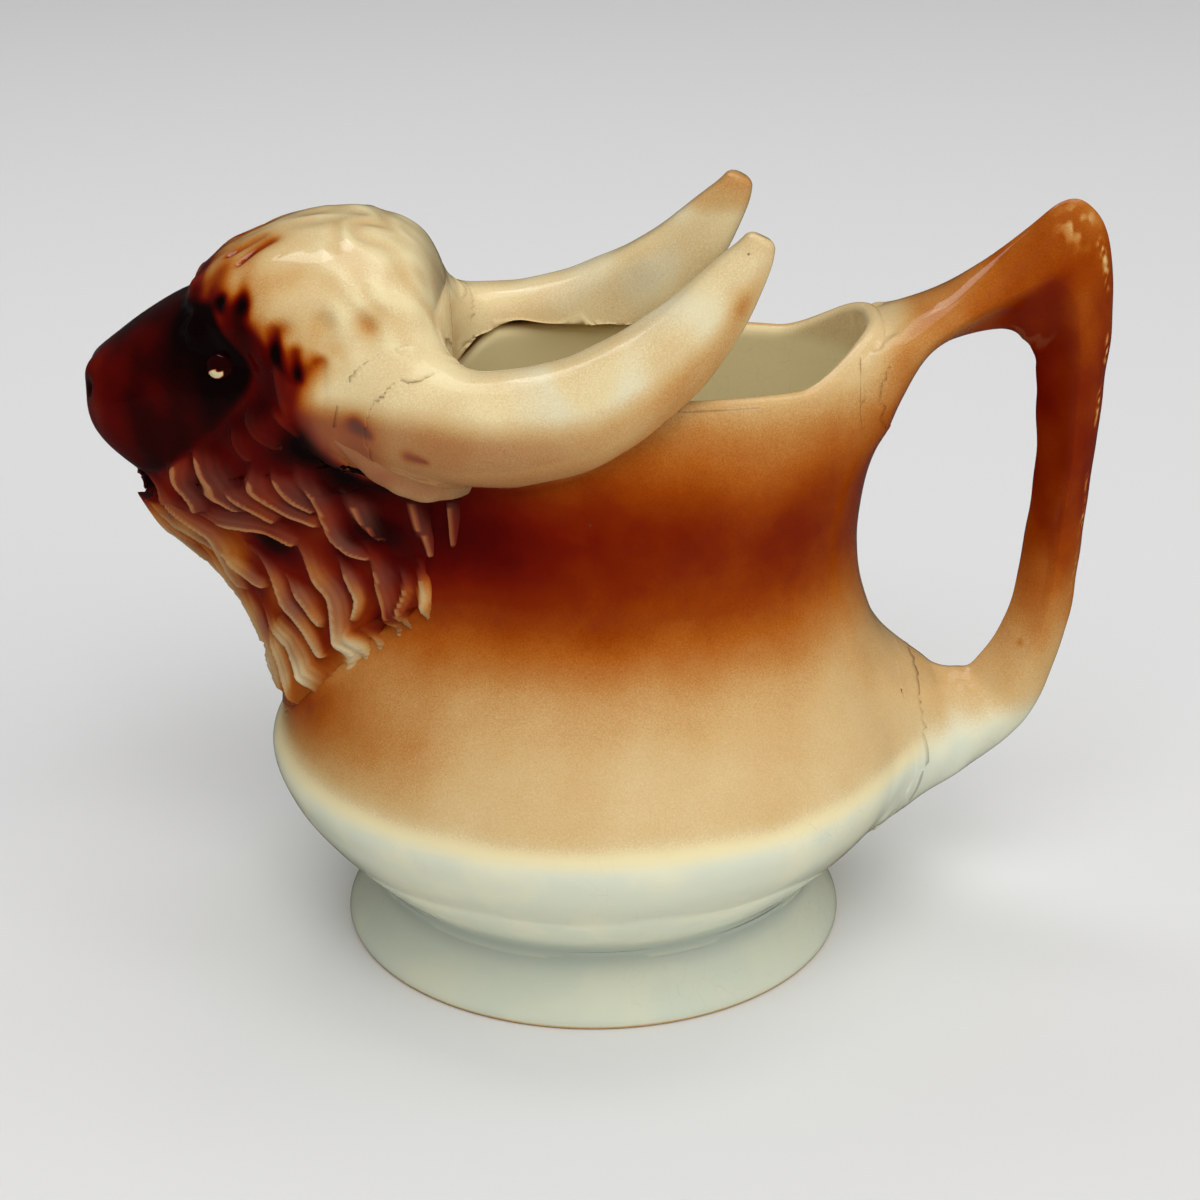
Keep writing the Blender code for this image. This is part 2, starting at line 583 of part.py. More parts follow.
def add_passage():
    """The pour passage: an oval tunnel forward from the neck that rises and narrows to the mouth."""
    along = np.linspace(0.0, 1.0, PASSAGE_ROWS)[:, None]
    x = PASSAGE_START_X + (PASSAGE_END_X - PASSAGE_START_X) * along
    lifted = np.clip((along - PASSAGE_LIFT_SHARE) / (1 - PASSAGE_LIFT_SHARE), 0.0, 1.0)
    lift = LIP_RISE * lifted**PASSAGE_LIFT_POWER
    taper = ease(along / PASSAGE_TAPER_SHARE)
    half_width = PASSAGE_HALF_WIDTH + (LIP_HALF_WIDTH - PASSAGE_HALF_WIDTH) * taper
    half_height = PASSAGE_HALF_HEIGHT + (LIP_HALF_HEIGHT - PASSAGE_HALF_HEIGHT) * taper
    angle = turn_angles(PASSAGE_COLUMNS)[None, :]
    y = -half_width * np.cos(angle)
    z = HEAD_BASE_HEIGHT - PASSAGE_DROP + lift + half_height * np.sin(angle)
    return add_capped("pour_passage", np.stack(np.broadcast_arrays(x, y, z), axis=-1))


def horn_line(share):
    """Points of the right horn's middle line at shares of its length."""
    station = np.linspace(0.0, 1.0, len(HORN_REACH_SHARES))
    tables = (HORN_REACH_SHARES, HORN_SPREAD_SHARES, HORN_HEIGHT_SHARES)
    shares = np.stack([smooth(share, station, table) for table in tables], axis=1)
    start = np.array([HORN_ROOT_X, MOUTH_HALF_WIDTH - HORN_TIP_INSET, HEAD_BASE_HEIGHT + HORN_ROOT_RISE])
    end = np.array([HORN_TIP_X, MOUTH_HALF_WIDTH + HORN_SIDE_STAND, RIM_HEIGHT + HORN_TIP_RISE])
    return start + (end - start) * shares


def horn_rings(grow=0.0):
    """The right horn: D sections, flat towards the mouth, along a curve back from the temple."""
    station = np.linspace(0.0, 1.0, len(HORN_REACH_SHARES))
    share = np.linspace(0.0, 1.0, HORN_ROWS)
    middle = horn_line(share)
    tangent = np.gradient(middle, axis=0)
    tangent = tangent / np.linalg.norm(tangent, axis=1, keepdims=True)
    up = np.array([0.0, 0.0, 1.0]) - tangent[:, 2:] * tangent
    up = up / np.linalg.norm(up, axis=1, keepdims=True)
    side = np.cross(up, tangent)
    size = smooth(share, station, HORN_SIZE_SHARES)[:, None]
    angle = turn_angles(HORN_COLUMNS)[None, :]
    flat_across, flat_up = superellipse(angle, HORN_INNER_SQUARENESS)
    outward = np.cos(angle) > 0
    across = HORN_HALF_WIDTH * size * np.where(outward, np.cos(angle), HORN_INNER_SHARE * flat_across)
    rise = HORN_HALF_DEPTH * size * np.where(outward, np.sin(angle), flat_up)
    rings = middle[:, None] + side[:, None] * across[..., None] + up[:, None] * rise[..., None]
    return rings + grow * ring_normals(rings)


def ear_rings(grow=0.0):
    """The right ear: a leaf below and outside the horn's root, pointed at its ends, hollowed outside."""
    along = np.linspace(0.0, 1.0, EAR_ROWS + 2)[1:-1, None]
    root, tip = horn_line(np.array([0.0, EAR_RUN_SHARE]))
    root = root + np.array([0.0, EAR_ROOT_OUT, -EAR_ROOT_DROP])
    tip = tip + np.array([0.0, EAR_TIP_OUT, -EAR_TIP_DROP])
    middle = root + (tip - root) * along
    middle[:, 2:] -= EAR_SAG * np.sin(math.pi * along)
    size = np.sin(math.pi * along**EAR_POINT_SHARE)
    angle = turn_angles(EAR_COLUMNS)[None, :]
    hollow = np.where(np.cos(angle) > 0, EAR_HOLLOW_SHARE, 1.0)
    y = EAR_HALF_WIDTH * size * np.cos(angle) * hollow
    z = EAR_HALF_DEPTH * size * np.sin(angle)
    rings = middle[:, None] + np.stack([0 * y, y, z], axis=-1)
    return rings + grow * ring_normals(rings)


def mirrored(rings):
    """The same rings on the other side of the middle plane, turned the right way out."""
    return (rings * (1.0, -1.0, 1.0))[:, ::-1]


def add_eye(name, side, material=None, grow=0.0):
    """An eyeball half set into the head."""
    station = np.linspace(0.0, 1.0, len(HEAD_REACH_SHARES))
    share = np.interp(EYE_REACH_SHARE, HEAD_REACH_SHARES, station)
    angles = np.linspace(-math.pi / 4, math.pi / 2, SECTION_POINTS)
    section = head_rings(np.full(SECTION_POINTS, share), angles)
    x = NOSE_X + (NAPE_X - NOSE_X) * EYE_REACH_SHARE
    height = HEAD_BASE_HEIGHT + HEAD_RISE * EYE_RISE_SHARE
    stand = np.interp(height, section[:, 2], section[:, 1])
    centre = np.array([x, side * (stand - EYE_RADIUS * (1 - EYE_STAND_SHARE)), height])
    latitude = np.linspace(-math.pi / 2, math.pi / 2, EYE_ROWS + 2)[1:-1, None]
    longitude = turn_angles(EYE_COLUMNS)[None, :]
    radius = EYE_RADIUS + grow
    rings = np.stack(
        np.broadcast_arrays(
            np.cos(latitude) * np.cos(longitude), np.cos(latitude) * np.sin(longitude), np.sin(latitude)
        ),
        axis=-1,
    )
    pole = np.array([0.0, 0.0, radius])
    return add_rings(name, centre + radius * rings, centre - pole, centre + pole, material)


def add_handle(material):
    """Ridged sections between the handle's outer and inner outlines, wide at the rim and the bowl."""
    station = np.linspace(0.0, 1.0, len(HANDLE_OUT_SHARES))
    share = np.linspace(0.0, 1.0, HANDLE_ROWS)
    rear = VESSEL_X + NECK_REAR
    rise = RIM_HEIGHT + HANDLE_PEAK_RISE - HANDLE_FOOT_HEIGHT
    out = rear + (HANDLE_X - rear) * smooth(share, station, HANDLE_OUT_SHARES)
    up = HANDLE_FOOT_HEIGHT + rise * smooth(share, station, HANDLE_UP_SHARES)
    turn = -FULL_TURN * smooth(share, station, HANDLE_TURN_SHARES)
    depth = HANDLE_DEPTH * smooth(share, station, HANDLE_DEPTH_SHARES)
    inward = np.stack([np.cos(turn), np.zeros_like(turn), np.sin(turn)], axis=1)
    middle = np.stack([out, np.zeros_like(out), up], axis=1) + depth[:, None] / 2 * inward
    flare = np.where(share < 0.5, HANDLE_ROOT_HALF_WIDTH, HANDLE_FOOT_HALF_WIDTH) - HANDLE_HALF_WIDTH
    width = HANDLE_HALF_WIDTH + flare * smooth(share, station, HANDLE_WIDTH_SHARES)
    squareness = HANDLE_SQUARENESS + (HANDLE_END_SQUARENESS - HANDLE_SQUARENESS) * ease(
        smooth(share, station, HANDLE_WIDTH_SHARES)
    )
    section_across, section_out = superellipse(turn_angles(HANDLE_COLUMNS)[None, :], squareness[:, None])
    side = np.array([0.0, 1.0, 0.0])
    rings = middle[:, None] + side * (width[:, None] * section_across)[..., None]
    rings = rings - inward[:, None] * (depth[:, None] / 2 * section_out)[..., None]
    return add_capped("handle", rings, material)


def build():
    """Every piece in its place, each trimmed to what carries it."""
    for old in list(bpy.data.objects):
        bpy.data.objects.remove(old, do_unlink=True)

    vessel = add_vessel_envelope()
    passage = add_passage()
    head_envelope = add_head("head_envelope", grow=SEAT_GAP)

    body = add_body(glaze("body_glaze", AMBER, 0.18))
    trim(body, passage)
    add_foot_ring(glaze("foot_glaze", CELADON, 0.16))

    head = add_head("bison_head", glaze("face_glaze", OXBLOOD, 0.10))
    trim(head, vessel)
    trim(head, passage, solver="MANIFOLD")

    outer, sunk = mane_grid()
    mane = add_pad("mane", outer, sunk, glaze("mane_glaze", LOCK_BROWN, 0.14))
    mane_cutters = [head_envelope, passage, vessel]

    forelock = add_forelock(glaze("forelock_glaze", CREAM, 0.16))
    trim(forelock, head_envelope, solver="MANIFOLD")

    for word, side in (("left", -1), ("right", 1)):
        turned = mirrored if side < 0 else np.asarray
        horn = add_capped("horn_" + word, turned(horn_rings()), glaze("horn_glaze_" + word, CREAM, 0.16))
        horn_envelope = add_capped("horn_envelope_" + word, turned(horn_rings(SEAT_GAP)))
        trim(horn, vessel)
        trim(horn, head_envelope)
        trim(forelock, horn_envelope, solver="MANIFOLD")
        ear = add_capped("ear_" + word, turned(ear_rings()), glaze("ear_glaze_" + word, MAUVE, 0.16))
        for cutter in (vessel, head_envelope, horn_envelope):
            trim(ear, cutter)
        ear_envelope = add_capped("ear_envelope_" + word, turned(ear_rings(SEAT_GAP)))
        mane_cutters = [horn_envelope, ear_envelope, *mane_cutters]
        add_eye("eye_" + word, side, glaze("eye_glaze_" + word, PALE_OLIVE, 0.12))
        eye_socket = add_eye("eye_socket_" + word, side, grow=SEAT_GAP)
        trim(head, eye_socket)
        trim(forelock, eye_socket, solver="MANIFOLD")
    for cutter in mane_cutters:
        trim(mane, cutter, solver="MANIFOLD")

    handle = add_handle(glaze("handle_glaze", RUSSET, 0.16))
    trim(handle, vessel)


build()
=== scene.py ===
"""A bison head pitcher in cast earthenware, with brown glazes sprayed over a cream and pale green ground.

Metres, +Z up. The spout faces -X, the handle +X, and the animal's left side is -Y.
"""

import math

import bpy
import numpy as np
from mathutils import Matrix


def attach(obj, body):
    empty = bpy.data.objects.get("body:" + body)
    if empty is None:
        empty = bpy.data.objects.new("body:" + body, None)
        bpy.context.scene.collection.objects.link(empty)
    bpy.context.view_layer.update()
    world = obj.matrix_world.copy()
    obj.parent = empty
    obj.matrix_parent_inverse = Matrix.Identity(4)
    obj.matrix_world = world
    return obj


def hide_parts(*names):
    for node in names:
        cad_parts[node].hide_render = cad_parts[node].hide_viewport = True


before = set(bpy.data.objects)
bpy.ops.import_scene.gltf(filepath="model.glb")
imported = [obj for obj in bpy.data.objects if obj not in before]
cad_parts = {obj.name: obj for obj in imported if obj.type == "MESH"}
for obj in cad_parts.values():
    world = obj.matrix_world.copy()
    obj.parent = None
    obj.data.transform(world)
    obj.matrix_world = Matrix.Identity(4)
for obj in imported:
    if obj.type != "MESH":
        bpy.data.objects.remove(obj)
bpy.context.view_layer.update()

MM = 0.001
DEGREE = math.pi / 180
FULL_TURN = 2 * math.pi
FINE = 1.0

# Wall, floor and lip
WALL = 0.0038
FLOOR = 0.0052
FLOOR_SHARES = (0.9, 0.75, 0.5, 0.25, 0.1)
LIP_STEPS = 14
LIP_CLEAR = 0.0004
BODY_LIP_RUN = 0.0040
HANDLE_LIP_RUN = 0.0050
LID_DEPTH = 0.45 * WALL

# Foot ring
FOOT_HEIGHT = 0.0140
FOOT_RADIUS = 0.0520
FOOT_LAND = 0.0042
FOOT_EDGE = 0.0012
WAIST_RADIUS = 0.0458
BASE_HEIGHT = 0.0072
BASE_RADIUS = 0.0395
FOOT_FLARE_SHARES = (0.0, 0.03, 0.09, 0.18, 0.32, 0.50, 0.70, 0.88, 0.975, 1.0)
FOOT_RISE_SHARES = (1.06, 0.93, 0.80, 0.67, 0.55, 0.44, 0.33, 0.22, 0.14, 0.085)
FOOT_TUCK = 0.0004
FOOT_INNER_SHARE = 0.75
FOOT_ROWS = 70

# Vessel: a round bowl under an oval neck
VESSEL_X = -0.0013
BOWL_RADIUS = 0.0660
EQUATOR_HEIGHT = 0.0430
NECK_HEIGHT = 0.0840
NECK_HALF_WIDTH = 0.0385
NECK_REAR = 0.0530
NECK_FRONT = 0.0560
MOUTH_HALF_WIDTH = 0.0285
MOUTH_REAR = 0.0560
MOUTH_REAR_SQUARENESS = 2.6
MOUTH_FRONT = 0.0480
RIM_HEIGHT = 0.1210
RIM_FRONT_DROP = 0.0095
RIM_FRONT_X = -0.0200
RIM_FRONT_RUN = 0.0140
RIM_REAR_RISE = 0.0095
RIM_REAR_X = 0.0370
RIM_REAR_RUN = 0.0220
BOWL_CURVE_SHARES = ((0.22, 0.32), (0.48, 0.66), (0.76, 0.92))
SHOULDER_CURVE_SHARES = ((0.10, 0.05), (0.24, 0.20), (0.42, 0.47), (0.60, 0.73), (0.80, 0.93))
SHOULDER_FRONT_SHARES = (0.22, 0.36, 0.55, 0.75, 0.92)
NECK_CURVE_SHARES = ((0.35, 0.30), (0.70, 0.66))

# Head: nose to nape
NOSE_X = -0.1000
NAPE_X = -0.0285
HEAD_BASE_HEIGHT = 0.0950
HEAD_RISE = 0.0500
HEAD_HALF_WIDTH = 0.0290
HEAD_REACH_SHARES = (0.0, 0.012, 0.042, 0.095, 0.165, 0.255, 0.35,
                     0.45, 0.56, 0.70, 0.83, 0.925, 0.978, 1.0)
HEAD_TOP_SHARES = (0.42, 0.51, 0.57, 0.632, 0.704, 0.78, 0.835,
                   0.895, 0.96, 0.99, 0.97, 0.90, 0.77, 0.56)
HEAD_BOTTOM_SHARES = (0.41, 0.30, 0.225, 0.15, 0.075, 0.02, 0.01,
                      0.03, 0.06, 0.10, 0.16, 0.24, 0.32, 0.50)
HEAD_WIDTH_SHARES = (0.0, 0.22, 0.35, 0.455, 0.53, 0.60, 0.70,
                     0.83, 0.94, 1.0, 1.0, 0.95, 0.80, 0.0)
HEAD_SQUARENESS = 2.35
HAIR_STAND = 0.0022
HAIR_RUN = 0.0080
FACE_REACH = 0.0340
FACE_HEIGHT_SHARES = (0.0, 0.16, 0.28, 0.43, 0.60, 0.67, 0.78, 0.90)
FACE_EDGE_SHARES = (0.40, 0.48, 0.68, 0.87, 0.97, 0.90, 0.76, 0.66)
EYE_X = -0.0705
EYE_HEIGHT = 0.1258
EYE_RADIUS = 0.0034
EYE_STAND_SHARE = 0.35
EYE_SHARES = (1.0, 1.0, 0.86)

# Forelock, in shares of the head's reach and round
FORELOCK_THICKNESS = 0.0029
FORELOCK_START_SHARE = 0.41
FORELOCK_END_SHARE = 0.965
FORELOCK_SPREAD = 78 * DEGREE
FORELOCK_FRONT_SHARE = 0.74
FORELOCK_TIPS = (0.012, 0.006)
FORELOCK_FRONT_SPAN = (0.0, 0.09)
FORELOCK_REAR_SPAN = (1.0, 0.5)
FORELOCK_SIDE_SPAN = (1.0, 0.6)
FORELOCK_LET_IN = 0.0006
FORELOCK_PROUD = 0.0001
FORELOCK_SUNK = 0.0030

# Mane and beard
MANE_REACH = 0.0900
MANE_HALF_WIDTH = 0.0600
MANE_FOOT_HEIGHT = 0.0480
MANE_TOP_HEIGHT = 0.1160
MANE_LIP_HEIGHT = 0.0955
MANE_LIP_SHARE = 0.20
MANE_LIP_RUN_SHARE = 0.20
MANE_SIDE_RISE = 0.0370
MANE_SIDE_DROP = 0.0080
MANE_SPREAD = 72 * DEGREE
MANE_EDGE_SHARE = 0.05
MANE_SIDE_SHARE = 0.93
MANE_SIDE_RUN_SHARE = 0.22
MANE_TUCK = 0.55
MANE_TUCK_SPAN = (0.72, 1.0)
MANE_SUNK = 0.7 * WALL
MANE_LEVEL_SHARES = (0.0, 0.10, 0.20, 0.30, 0.40, 0.50, 0.60, 0.70, 0.82, 1.0)
MANE_REACH_SHARES = (0.705, 0.714, 0.733, 0.760, 0.806, 0.878, 0.968, 1.022, 1.02, 1.0)
MANE_WIDTH_SHARES = (1.05, 0.97, 0.88, 0.80, 0.745, 0.708, 0.685, 0.650, 0.590, 0.570)
MANE_SQUARENESS = (2.0, 2.0, 1.92, 1.80, 1.64, 1.48, 1.40, 1.50, 1.72, 2.0)

# Pour passage, whose cut walls are painted near black as shade
PASSAGE_HEIGHT = 0.0945
PASSAGE_HALF_WIDTH = 0.0150
PASSAGE_HALF_HEIGHT = 0.0085
PASSAGE_START_X = -0.0380
PASSAGE_END_X = -0.1015
LIP_HALF_WIDTH = 0.0066
LIP_HALF_HEIGHT = 0.0030
LIP_RISE = 0.0044
PASSAGE_LIFT_SHARE = 0.62
PASSAGE_TAPER_SHARE = 0.80
# Painted shade inside the passage: where it starts along it, its edge, and the stain on its walls and root
PASSAGE_SHADE_SHARE = 0.12
PASSAGE_SHADE_EDGE_SPAN = (1.30, 1.08)
PASSAGE_SHADE_DENSITY = 0.93
PASSAGE_ROOT_SHADE_DENSITY = 0.95

# Horns
HORN_ROOT = (-0.0500, 0.0250, 0.1210)
HORN_TIP = (0.0290, 0.0322, 0.1512)
HORN_HALF_DEPTH = 0.0104
HORN_HALF_WIDTH = 0.0088
HORN_REACH_SHARES = (0.0, 0.15, 0.31, 0.45, 0.59, 0.72, 0.82, 0.905, 0.965, 1.0)
HORN_HEIGHT_SHARES = (0.02, -0.08, -0.135, -0.125, -0.03, 0.15, 0.36, 0.60, 0.83, 1.0)
HORN_SPREAD_SHARES = (-0.60, 0.45, 0.97, 1.0, 0.97, 0.74, 0.42, 0.17, 0.03, 0.0)
HORN_SIZE_SHARES = (0.72, 0.90, 0.99, 1.0, 0.97, 0.88, 0.76, 0.60, 0.43, 0.26)
HORN_ROOT_SHARE = 0.13
HORN_ROOT_SIZE = 0.35
HORN_TIP_SIZE = 0.65
HORN_BLUNT_SHARE = 0.018
HORN_JOIN_X = -0.0400
HORN_JOIN_RUN = 0.0050
HORN_INNER_SHARE = 1.15
HORN_INNER_SQUARENESS = 3.0

# Ears, under the horns' roots
EAR_RUN_SHARE = 0.263
EAR_ROOT_OUT = 0.0103
EAR_TIP_OUT = 0.0005
EAR_ROOT_DROP = 0.0066
EAR_TIP_DROP = 0.0122
EAR_SAG = 0.0015
EAR_HALF_DEPTH = 0.0050
EAR_HALF_WIDTH = 0.0034
EAR_HOLLOW_SHARE = 0.55
EAR_POINT_SHARE = 0.8
EAR_TIP_SINK = 0.0042
EAR_SINK_SPAN = (0.6, 1.0)
EAR_HOLLOW_DEPTH = 0.0012

# Handle
HANDLE_X = 0.1000
HANDLE_PEAK_HEIGHT = 0.1510
HANDLE_FOOT_HEIGHT = 0.0180
HANDLE_DEPTH = 0.0115
HANDLE_HALF_WIDTH = 0.0064
HANDLE_ROOT_HALF_WIDTH = 0.0165
HANDLE_FOOT_HALF_WIDTH = 0.0250
HANDLE_OUT_SHARES = (0.015, 0.11, 0.30, 0.55, 0.76, 0.88, 0.965, 1.0,
                     0.985, 0.955, 0.92, 0.82, 0.71, 0.575, 0.42, 0.05)
HANDLE_UP_SHARES = (0.820, 0.842, 0.874, 0.938, 1.0, 0.995, 0.943, 0.820,
                    0.678, 0.503, 0.346, 0.209, 0.152, 0.113, 0.088, 0.045)
HANDLE_TURN_SHARES = (0.25, 0.245, 0.262, 0.252, 0.282, 0.302, 0.325, 0.370,
                      0.438, 0.506, 0.518, 0.592, 0.641, 0.676, 0.704, 0.73)
HANDLE_DEPTH_SHARES = (1.90, 1.38, 1.04, 1.45, 2.40, 2.60, 2.42, 1.73,
                       1.15, 1.0, 1.12, 1.45, 1.74, 2.04, 2.36, 3.0)
HANDLE_WIDTH_SHARES = (1.0, 0.82, 0.40, 0.10, 0.0, 0.0, 0.0, 0.0,
                       0.0, 0.0, 0.0, 0.05, 0.14, 0.28, 0.52, 1.0)
HANDLE_SQUARENESS = 1.42
HANDLE_SCOOP = 0.13
HANDLE_SCOOP_SPAN = (0.62, 0.52)
HANDLE_END_SQUARENESS = 2.4
HANDLE_FLUSH_DROP = 0.0002
HANDLE_FLUSH_SPAN = (0.10, 0.0)
HANDLE_END_SPAN = (0.03, 0.0)

# Unevenness of hand work: wavelength in millimetres and random seed of each kind, and in metres how far it
# swells each piece
UNEVENNESS = {
    "locks": (11, 3), "strands": (2.6, 8),
    "body": (35, 5), "horn": (14, 6), "ear": (6, 7), "handle": (14, 9),
    "horn_seat_left": (8, 14), "horn_seat_right": (8, 16),
    "comb_front": (6, 21), "comb_drift": (13, 22), "comb_rear": (9, 23),
    "spray": (24, 41), "inside": (30, 43), "hair_blotch": (9, 51), "face": (11, 61),
    "crown_edge": (5, 71), "crown_edge_fine": (2.6, 72), "crown": (12, 73),
    "horn_cream": (16, 81), "horn_green": (20, 82), "ear_tan": (7, 91),
    "handle_red": (12, 101), "wear_and_highlight": (8, 102), "wear_and_highlight_peak": (2.6, 103), "wear_and_highlight_fine": (2.1, 104),
}
BODY_SWELL = 0.00012
HORN_SWELL = 0.00022
HORN_FREE_SPAN = (-0.030, -0.014)
HORN_SEAT = 0.0003
HORN_SEAT_SWELL = 0.0009
EAR_SWELL = 0.0003
HANDLE_SWELL = 0.00016
HANDLE_FREE_SPAN = (0.005, 0.014)

# Fusing of luted pieces: size of the soft fillet at each joint
FILLET_HANDLE = 0.0100
FILLET_MANE = 0.0018
FILLET_HEAD = 0.0040
FILLET_HORN = 0.0012
FILLET_HORN_ROOT = 0.0100
FILLET_CHEEK = 0.0080
FILLET_EAR = 0.0022
FILLET_FOOT = 0.0036
FILLET_SINK = 0.00002
FILLET_SINK_SPAN = (0.20, 0.06)
FILLET_DEEP = 0.0016
FUSE_STEP = 0.0018
SKIN_STEP = 0.0013
TILE = 12

# From here on places, radii and spans are in millimetres, degrees or shares. A span runs from where a tone
# or a carving starts to where it is full. Depths, swells and glaze features are in metres, except those in
# tables.

# Carving of the mane and cheeks: each lock's crest runs from its root to its tip, as degrees round the
# vessel's axis from the spout and millimetres of height
LOCK_ARC = 1.134
LOCK_STEEP = 0.60
LOCK_SLOPE = 5.4
LOCK_STRANDS = 0.10
LOCK_STRAND_WIDTH = 1.5
LOCK_SWELL = 0.8
LOCK_STAGGER = (0.7, 0.9)
LOCK_ROOT_SPAN = (0.0, 0.35)
LOCK_TIP_SPAN = (1.0, 0.90)
LOCK_DEPTH = 0.0021
LOCK_LEVEL = 0.42
STRAND_DEPTH = 0.00012
STRAND_DEGREE = 0.0009
STRAND_STRETCH = 0.22
LOCK_FOOT_DEGREES = (0, 18, 27, 38, 46, 51, 58, 65, 72, 90)
LOCK_FOOT_HEIGHTS = (49, 53, 60, 66, 74, 79, 85, 87, 88, 89)
LOCK_CRESTS = (
    ((12, 110), (12, 106), (12, 102), (13, 99), (12, 95)),
    ((14, 113), (14, 109), (15, 106), (16, 103), (16, 100), (19, 97)),
    ((7, 102), (8, 98), (9, 94), (10, 90), (9, 85), (8, 80), (10, 76)),
    ((4, 95), (5, 92), (7, 89), (9, 87), (11, 84)),
    ((11, 96), (14, 94), (18, 94), (21, 93), (23, 91)),
    ((22, 109), (21, 105), (21, 102), (24, 98), (28, 96)),
    ((24, 108), (24, 105), (25, 101), (27, 99)),
    ((27, 112), (26, 106), (27, 102), (28, 98), (30, 93), (33, 91), (35, 91)),
    ((29, 117), (29, 113), (30, 110), (32, 108)),
    ((23, 94), (23, 90), (24, 85), (27, 81), (29, 75), (30, 70), (29, 65), (30, 61)),
    ((15, 89), (16, 84), (18, 78), (21, 75), (25, 71), (28, 69)),
    ((11, 88), (10, 84), (12, 81), (15, 80)),
    ((12, 75), (14, 71), (19, 69), (22, 65), (23, 60), (22, 55)),
    ((12, 72), (14, 67), (17, 62), (18, 54)),
    ((37, 105), (39, 102), (41, 98), (44, 94), (45, 91)),
    ((46, 107), (47, 102), (49, 97), (50, 93)),
    ((34, 94), (35, 89), (36, 84), (38, 79), (38, 73)),
    ((31, 78), (31, 73), (33, 68), (34, 64)),
    ((43, 91), (44, 86), (45, 81), (45, 77)),
    ((37, 79), (39, 74), (41, 70), (41, 66)),
    ((26, 66), (27, 62), (27, 58)),
    ((40, 90), (41, 85), (40, 80), (42, 75)),
    ((31, 104), (32, 100), (34, 97), (37, 94)),
    ((17, 104), (18, 101), (20, 98), (22, 96)),
    ((5, 84), (4, 79), (5, 73), (6, 68), (5, 62)),
    ((8, 78), (9, 72), (11, 66), (12, 60), (12, 55)),
    ((0, 93), (1, 88), (-1, 83), (1, 78), (0, 72)),
    ((2, 76), (1, 70), (2, 64), (0, 58), (1, 52)),
    ((19, 84), (21, 80), (24, 77), (27, 75)),
    ((29, 90), (30, 86), (32, 82), (32, 77)),
    ((34, 76), (35, 71), (37, 67)),
    ((8, 66), (8, 60), (9, 54)),
    ((26, 121), (27, 118), (29, 115)),
    ((25, 131), (26, 127), (27, 123), (28, 119)),
    ((21, 121), (22, 117), (24, 114), (26, 112)),
    ((19, 116), (20, 112), (22, 109)),
)

# Edges of the hair on the face and under the crown, in millimetres
FACE_EDGE_HEIGHTS = (60, 96, 103, 109, 117, 125, 134, 142)
FACE_EDGE_PLACES = (-140, -100, -86.5, -79, -71.5, -66.5, -72.5, -76)
CROWN_EDGE_PLACES = (-86, -80, -76, -70, -66, -62, -58, -54, -50, -47, -43, -36)
CROWN_EDGE_HEIGHTS = (136, 138, 138.5, 139, 137.5, 134, 129.5, 127.5, 125, 120.5, 115, 112)

# Where the hair is carved, from the face, the crown, the cheeks, the sides, the locks' foot and the horns
HAIR_FACE_SPAN = (-1.5, 2.5)
HAIR_CROWN_SPAN = (-1.0, 4.0)
HAIR_CHEEK_SPAN = (106, 112)
HAIR_SIDE_SPAN = (51, 57)
HAIR_FOOT_SPAN = (1, 10)
HAIR_HORN_SPAN = (1.35, 1.85)

# Combing of the crown
COMB_DEPTH = 0.00026
COMB_CENTRE_HEIGHT = 118
COMB_RADIUS = 30
COMB_STRETCH = 0.30
COMB_WAY = (0.73, 0.68)
COMB_DRIFT = 1.6
COMB_WIDTH = 5.2
COMB_CHANGE_SPAN = (-57, -45)
COMB_EDGE_SPAN = (1, 7)
COMB_NAPE_SPAN = (-33, -40)
COMB_HORN_SPAN = (1.4, 2.4)

# Hollows and bosses of the face: place, radius and depth
FACE_MARKS = (
    ((-70.5, 18.6, 125.6), 4.6, 1.1),
    ((-68.5, 20.5, 131.5), 4.5, -1.0),
    ((-66.0, 24.0, 126.5), 3.0, 0.9),
    ((-76.0, 17.0, 120.5), 6.0, -0.7),
    ((-98.4, 6.8, 117.6), 1.7, 1.7),
    ((-98.6, 4.6, 121.0), 3.0, -0.5),
    ((-96.5, 8.5, 113.0), 2.2, 0.5),
    ((-92.0, 11.5, 112.5), 4.5, -0.5),
    ((-88.0, 12.5, 106.5), 2.0, 0.5),
)

# Dimples pressed into the crown: place, radius and depth
CROWN_DIMPLES = (
    ((-51.2, -29.5, 136.8), 2.2, 1.4),
    ((-42.6, -29.0, 136.6), 2.6, 1.2),
    ((-66.0, -22.5, 138.5), 2.4, 0.8),
    ((-58.0, -26.0, 135.0), 2.0, 0.7),
)

# Cuts in the crown: start, end, radius and depth
CROWN_CUTS = (
    ((-64.8, -5.0, 148.0), (-69.8, -7.5, 144.0), 1.6, 0.6),
    ((-62.0, -9.0, 146.6), (-67.2, -13.0, 143.6), 1.4, 0.5),
    ((-60.5, -27.0, 134.5), (-59.5, -28.0, 123.0), 1.1, 0.7),
    ((-51.5, -30.0, 129.5), (-51.0, -31.0, 122.5), 1.0, 0.7),
    ((-47.6, -30.5, 127.0), (-47.2, -32.0, 120.5), 0.9, 0.6),
    ((-56.2, -28.5, 131.0), (-55.6, -30.0, 126.0), 1.0, 0.5),
    ((-70.5, -19.0, 138.0), (-69.5, -21.0, 131.0), 1.0, 0.6),
    ((-56.0, -14.0, 150.0), (-60.0, -17.0, 146.5), 1.0, 0.5),
)

# Painted shade in the darkest scoops of the carved hair, which also lose their sheen: place and radius
SHADED_SCOOPS = (
    ((-38.0, 31.0, 106.7), 5.5),
    ((-41.0, 31.2, 95.5), 4.5),
    ((-62.9, 21.3, 90.5), 4.0),
    ((-48.0, 29.0, 109.0), 5.0),
    ((-41.5, 32.4, 78.4), 3.0),
    ((-54.4, 27.6, 113.5), 4.0),
)

